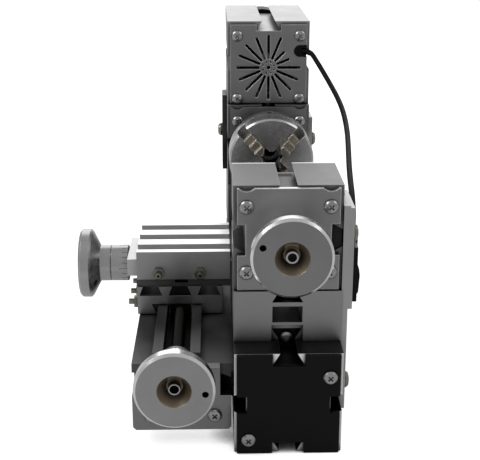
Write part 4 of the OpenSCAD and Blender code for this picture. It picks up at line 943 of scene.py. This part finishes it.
@dataclass
class Tailstock:
    """The tailstock, its quill and handwheel.

    Args:
        face: Where the axis leaves the front cover.
        top: Height of the housing's top.
        back: Where the housing's back edge is.
        groove_start: Where the part of the top groove with painted shade starts.
        groove_end: Where that half ends.
        groove_half: Half its width.
        back_width: Width of the painted highlight on the back edge.
        back_height: Half the height of that zone.
        cover_margin: Thickness of the cover's face, which stays grey.
        cover_height: Half the height of the painted highlight on the cover's top.
    """

    face: Point = (134.2 * MM, 0.0, 100.0 * MM)
    top: float = 125.0 * MM
    back: float = 91.7 * MM
    groove_start: float = 90.0 * MM
    groove_end: float = 97.0 * MM
    groove_half: float = 4.1 * MM
    back_width: float = 1.2 * MM
    back_height: float = 0.05 * MM
    cover_margin: float = 0.06 * MM
    cover_height: float = 7.0 * MM

    def build(self, shop: PaintShop) -> None:
        """Dresses the tailstock's nodes and builds its wheel.

        Args:
            shop: The paint shop.
        """
        middle = Turning(ORIGIN, (0.0, 1.0, 0.0))
        level = Turning((0.0, 0.0, self.top), (0.0, 0.0, 1.0))
        # Painted shade: the rear part of the top groove is painted near black.
        groove_shade = Zone((0.012, 0.012, 0.012), low=self.groove_start, high=self.groove_end,
                           turning=middle, radius=self.groove_half)
        # Painted highlight: a pale strip along the housing's top back edge.
        back_edge_highlight = Zone((0.9, 0.9, 0.9), high=self.back + self.back_width, turning=level,
                         radius=self.back_height)
        shop.dress(("tailstock_housing",), Finishes.tail_grey, zones=(groove_shade, back_edge_highlight))
        # Painted highlight: a pale band on the cover's top, behind its face.
        cover_edge_highlight = Zone((0.95, 0.95, 0.95), high=self.face[0] - self.cover_margin, turning=level,
                          radius=self.cover_height)
        shop.dress(("tailstock_front_cover",), Finishes.cover, zones=(cover_edge_highlight,))
        spin = Turning((0.0, 0.0, self.face[2]), ROUND_X)
        shop.dress(("quill", "tail_center", "quill_screw"), Finishes.steel, spin)
        Handwheel("tail_handwheel", "tail_wheel", self.face, (1.0, 0.0, 0.0)).build(shop)


@dataclass
class LongSlide:
    """The long slide with its screw, wheel and carriage.

    Args:
        axis: Y and Z of the screw's axis.
        face: Where the bracket's face is.
        tip: Where the screw starts.
        plain: Plain length between thread and bracket.
    """

    axis: tuple[float, float] = (-51.7 * MM, 41.25 * MM)
    face: float = 141.5 * MM
    tip: float = -62.5 * MM
    plain: float = 8.0 * MM

    def build(self, shop: PaintShop) -> None:
        """Dresses the long slide's nodes and builds its screw and wheel.

        Args:
            shop: The paint shop.
        """
        shop.dress(("slide_base",), Finishes.black)
        shop.dress(("slide_brackets",), Finishes.grey)
        shop.dress(("long_carriage",), Finishes.silver)
        shop.dress(("long_gib", "long_nut"), Finishes.bronze)
        length = self.face - self.tip + WHEEL_LENGTH - SCREW_RECESS
        FeedScrew("slide_screw_thread", "slide_screw", "long_wheel", (self.tip, *self.axis), (1.0, 0.0, 0.0),
                  self.face - self.tip - self.plain, length).build(shop)
        Handwheel("slide_handwheel", "long_wheel", (self.face, *self.axis), (1.0, 0.0, 0.0),
                  shaded_face_grey=0.34, hole_angle=-96.0).build(shop)


@dataclass
class CrossSlide:
    """The cross slide with its screw, wheel and carriage.

    Args:
        axis: X and Z of the screw's axis.
        face: Where the front bracket's face is.
        tip: Where the screw starts.
        plain: Plain length between thread and bracket.
        top: Height of the carriage's top.
        groove: Depth of its grooves.
        land_margin: Thickness of the painted highlight on the lands, which are milled bright as well.
        floor_margin: Half the thickness of the painted highlight on their floors.
        floor_reach: Half the length of that zone along X.
    """

    axis: tuple[float, float] = (54.0 * MM, 60.45 * MM)
    face: float = -79.0 * MM
    tip: float = 21.5 * MM
    top: float = 74.75 * MM
    groove: float = 5.0 * MM
    plain: float = 6.0 * MM
    land_margin: float = 0.03 * MM
    floor_margin: float = 0.01 * MM
    floor_reach: float = 22.5 * MM

    def build(self, shop: PaintShop) -> None:
        """Dresses the cross slide's nodes and builds its screw and wheel.

        Args:
            shop: The paint shop.
        """
        shop.dress(("cross_base",), Finishes.black)
        shop.dress(("cross_brackets",), Finishes.bracket)
        up = (0.0, 0.0, 1.0)
        # Painted highlight: the top lands, milled bright as well, and the grooves' floors are painted near
        # white.
        lands_highlight = Zone((0.9, 0.9, 0.9), up, self.top - self.land_margin)
        floor = self.top - self.groove
        inside = Turning((self.axis[0], 0.0, 0.0), (1.0, 0.0, 0.0))
        floors_highlight = Zone((0.98, 0.98, 0.98), up, floor - self.floor_margin, floor + self.floor_margin, inside,
                      self.floor_reach)
        shop.dress(("cross_carriage",), Finishes.cross_silver, zones=(lands_highlight, floors_highlight))
        shop.dress(("cross_gib", "cross_nut"), Finishes.bronze)
        x, z = self.axis
        length = self.tip - self.face + WHEEL_LENGTH - SCREW_RECESS
        FeedScrew("cross_screw_thread", "cross_screw", "cross_wheel", (x, self.tip, z), (0.0, -1.0, 0.0),
                  self.tip - self.face - self.plain, length).build(shop)
        Handwheel("cross_handwheel", "cross_wheel", (x, self.face, z), (0.0, -1.0, 0.0),
                  finish=Finishes.turned, hole_angle=120.0).build(shop)


class SideFittings:
    """The straps, the side plate, the switch and its grommets."""

    def build(self, shop: PaintShop) -> None:
        """Dresses the side fittings.

        Args:
            shop: The paint shop.
        """
        shop.dress(("tail_strap", "head_strap", "switch_plate"), Finishes.strip)
        shop.dress(("front_plate",), Finishes.black)
        shop.dress(("switch_body", "switch_rocker"), Finishes.glossy)
        shop.dress(("cord_grommets",), Finishes.rubber)


@dataclass
class Studio:
    """The floor, the lights and the camera.

    Args:
        camera_at: Where the camera is.
        pitch: How far it looks down, in radians.
        yaw: How far it is turned from -X towards +Y, in radians.
        focal: Its focal length in pixels.
        width: Width of the photograph in pixels.
        floor_size: Half the floor's side.
        floor_drop: Its depth under the lathe.
        cover_reach: How far the painted contact shadow reaches on the floor beside the lathe.
        cover_gain: Gain on that open sky.
        cover_offset: What is added to it.
        lights: Place, target, side and power in watts of each lamp.
    """

    camera_at: Point = (0.57074, -0.03284, 0.25)
    pitch: float = math.radians(18.377)
    yaw: float = math.radians(1.426)
    focal: float = 1022.56
    width: float = 480.0
    floor_size: float = 6.0
    floor_drop: float = 0.2 * MM
    cover_reach: float = 13.0 * MM
    cover_gain: float = 5.0
    cover_offset: float = -1.5
    lights: tuple[tuple[Point, Point, float, float], ...] = (
        ((-1.3, 0.0, 0.75), (0.0, 0.0, 0.12), 1.3, 6.0),
        ((0.1, -0.9, 1.0), (0.0, 0.0, 0.08), 0.7, 5.0),
        ((0.1, 0.9, 1.0), (0.0, 0.0, 0.08), 0.6, 1.5))

    def build(self) -> None:
        """Makes the studio."""
        self._camera()
        self._floor()
        self._world()
        for place, target, size, power in self.lights:
            self._lamp(place, target, size, power)
        bpy.context.scene.view_settings.view_transform = "Standard"

    def _camera(self) -> None:
        """Puts the camera where the photograph was taken from."""
        data = bpy.data.cameras.new("camera")
        data.sensor_fit = "HORIZONTAL"
        data.lens = data.sensor_width * self.focal / self.width
        data.clip_start = 0.01
        data.clip_end = 50.0
        camera = bpy.data.objects.new("camera", data)
        bpy.context.scene.collection.objects.link(camera)
        level = math.cos(self.pitch)
        forward = Vector((-level * math.cos(self.yaw), level * math.sin(self.yaw), -math.sin(self.pitch)))
        camera.location = self.camera_at
        camera.rotation_euler = forward.to_track_quat("-Z", "Y").to_euler()
        bpy.context.scene.camera = camera

    def _floor(self) -> None:
        """Makes a wide pale floor with a painted contact shadow beside and under the lathe."""
        mesh = bmesh.new()
        bmesh.ops.create_grid(mesh, x_segments=1, y_segments=1, size=self.floor_size)
        data = bpy.data.meshes.new("floor")
        mesh.to_mesh(data)
        mesh.free()
        floor = bpy.data.objects.new("floor", data)
        floor.location.z = -self.floor_drop
        bpy.context.scene.collection.objects.link(floor)
        material = bpy.data.materials.new("floor_paper")
        material.use_nodes = True
        tree = material.node_tree
        shader = tree.nodes["Principled BSDF"]
        shader.inputs["Base Color"].default_value = (0.75, 0.75, 0.75, 1.0)
        shader.inputs["Roughness"].default_value = 0.9
        shader.inputs["Specular IOR Level"].default_value = 0.0
        shader.inputs["Emission Color"].default_value = (1.0, 1.0, 1.0, 1.0)
        # Painted shadow: the floor's glow for the camera fades where the lathe covers it, as under its
        # groove.
        floor_shadow_occlusion = tree.nodes.new("ShaderNodeAmbientOcclusion")
        floor_shadow_occlusion.samples = 8
        floor_shadow_occlusion.inputs["Distance"].default_value = self.cover_reach
        open_sky = maths(tree, "MULTIPLY_ADD", floor_shadow_occlusion.outputs["AO"], self.cover_gain, self.cover_offset,
                         clamp=True)
        glow = maths(tree, "MULTIPLY", self._seen(tree, camera=0.85, base=0.0, mirrored=0.16), open_sky)
        tree.links.new(glow, shader.inputs["Emission Strength"])
        data.materials.append(material)

    def _world(self) -> None:
        """Lights the scene evenly from all round, with a white background for the camera."""
        world = bpy.data.worlds.new("studio")
        world.use_nodes = True
        tree = world.node_tree
        background = tree.nodes["Background"]
        background.inputs["Color"].default_value = (1.0, 1.0, 1.0, 1.0)
        tree.links.new(self._seen(tree, camera=0.75, base=0.25, mirrored=0.25), background.inputs["Strength"])
        bpy.context.scene.world = world

    @staticmethod
    def _seen(tree: Tree, camera: float, base: float, mirrored: float) -> Socket:
        """Gives a strength that is higher for what the camera sees, directly or mirrored.

        Args:
            tree: The material's or world's tree.
            camera: What is added for camera rays.
            base: The strength for all other rays.
            mirrored: What is added for glossy and transmission rays.

        Returns:
            The strength's socket.
        """
        path = tree.nodes.new("ShaderNodeLightPath")
        total: Value = base
        shares = {"Is Camera Ray": camera, "Is Glossy Ray": mirrored, "Is Transmission Ray": mirrored}
        for ray, share in shares.items():
            total = maths(tree, "MULTIPLY_ADD", path.outputs[ray], share, total)
        return total

    def _lamp(self, place: Point, target: Point, size: float, power: float) -> None:
        """Adds a soft square lamp.

        Args:
            place: Where the lamp is.
            target: Where it points.
            size: Its side in metres.
            power: Its power in watts.
        """
        data = bpy.data.lights.new("softbox", "AREA")
        data.size = size
        data.energy = power
        lamp = bpy.data.objects.new("softbox", data)
        bpy.context.scene.collection.objects.link(lamp)
        lamp.location = place
        lamp.rotation_euler = (Vector(target) - Vector(place)).to_track_quat("-Z", "Y").to_euler()


def main() -> None:
    """Builds the studio and every sub-assembly in order."""
    logging.basicConfig(level=logging.INFO, format="%(name)s: %(message)s")
    Studio().build()
    shop = PaintShop()
    MotorCord().build(shop)
    for assembly in (Bed(), Headstock(), Tailstock(), LongSlide(), CrossSlide(), SideFittings()):
        assembly.build(shop)
        log.info("built %s", type(assembly).__name__)


if __name__ == "__main__":
    main()
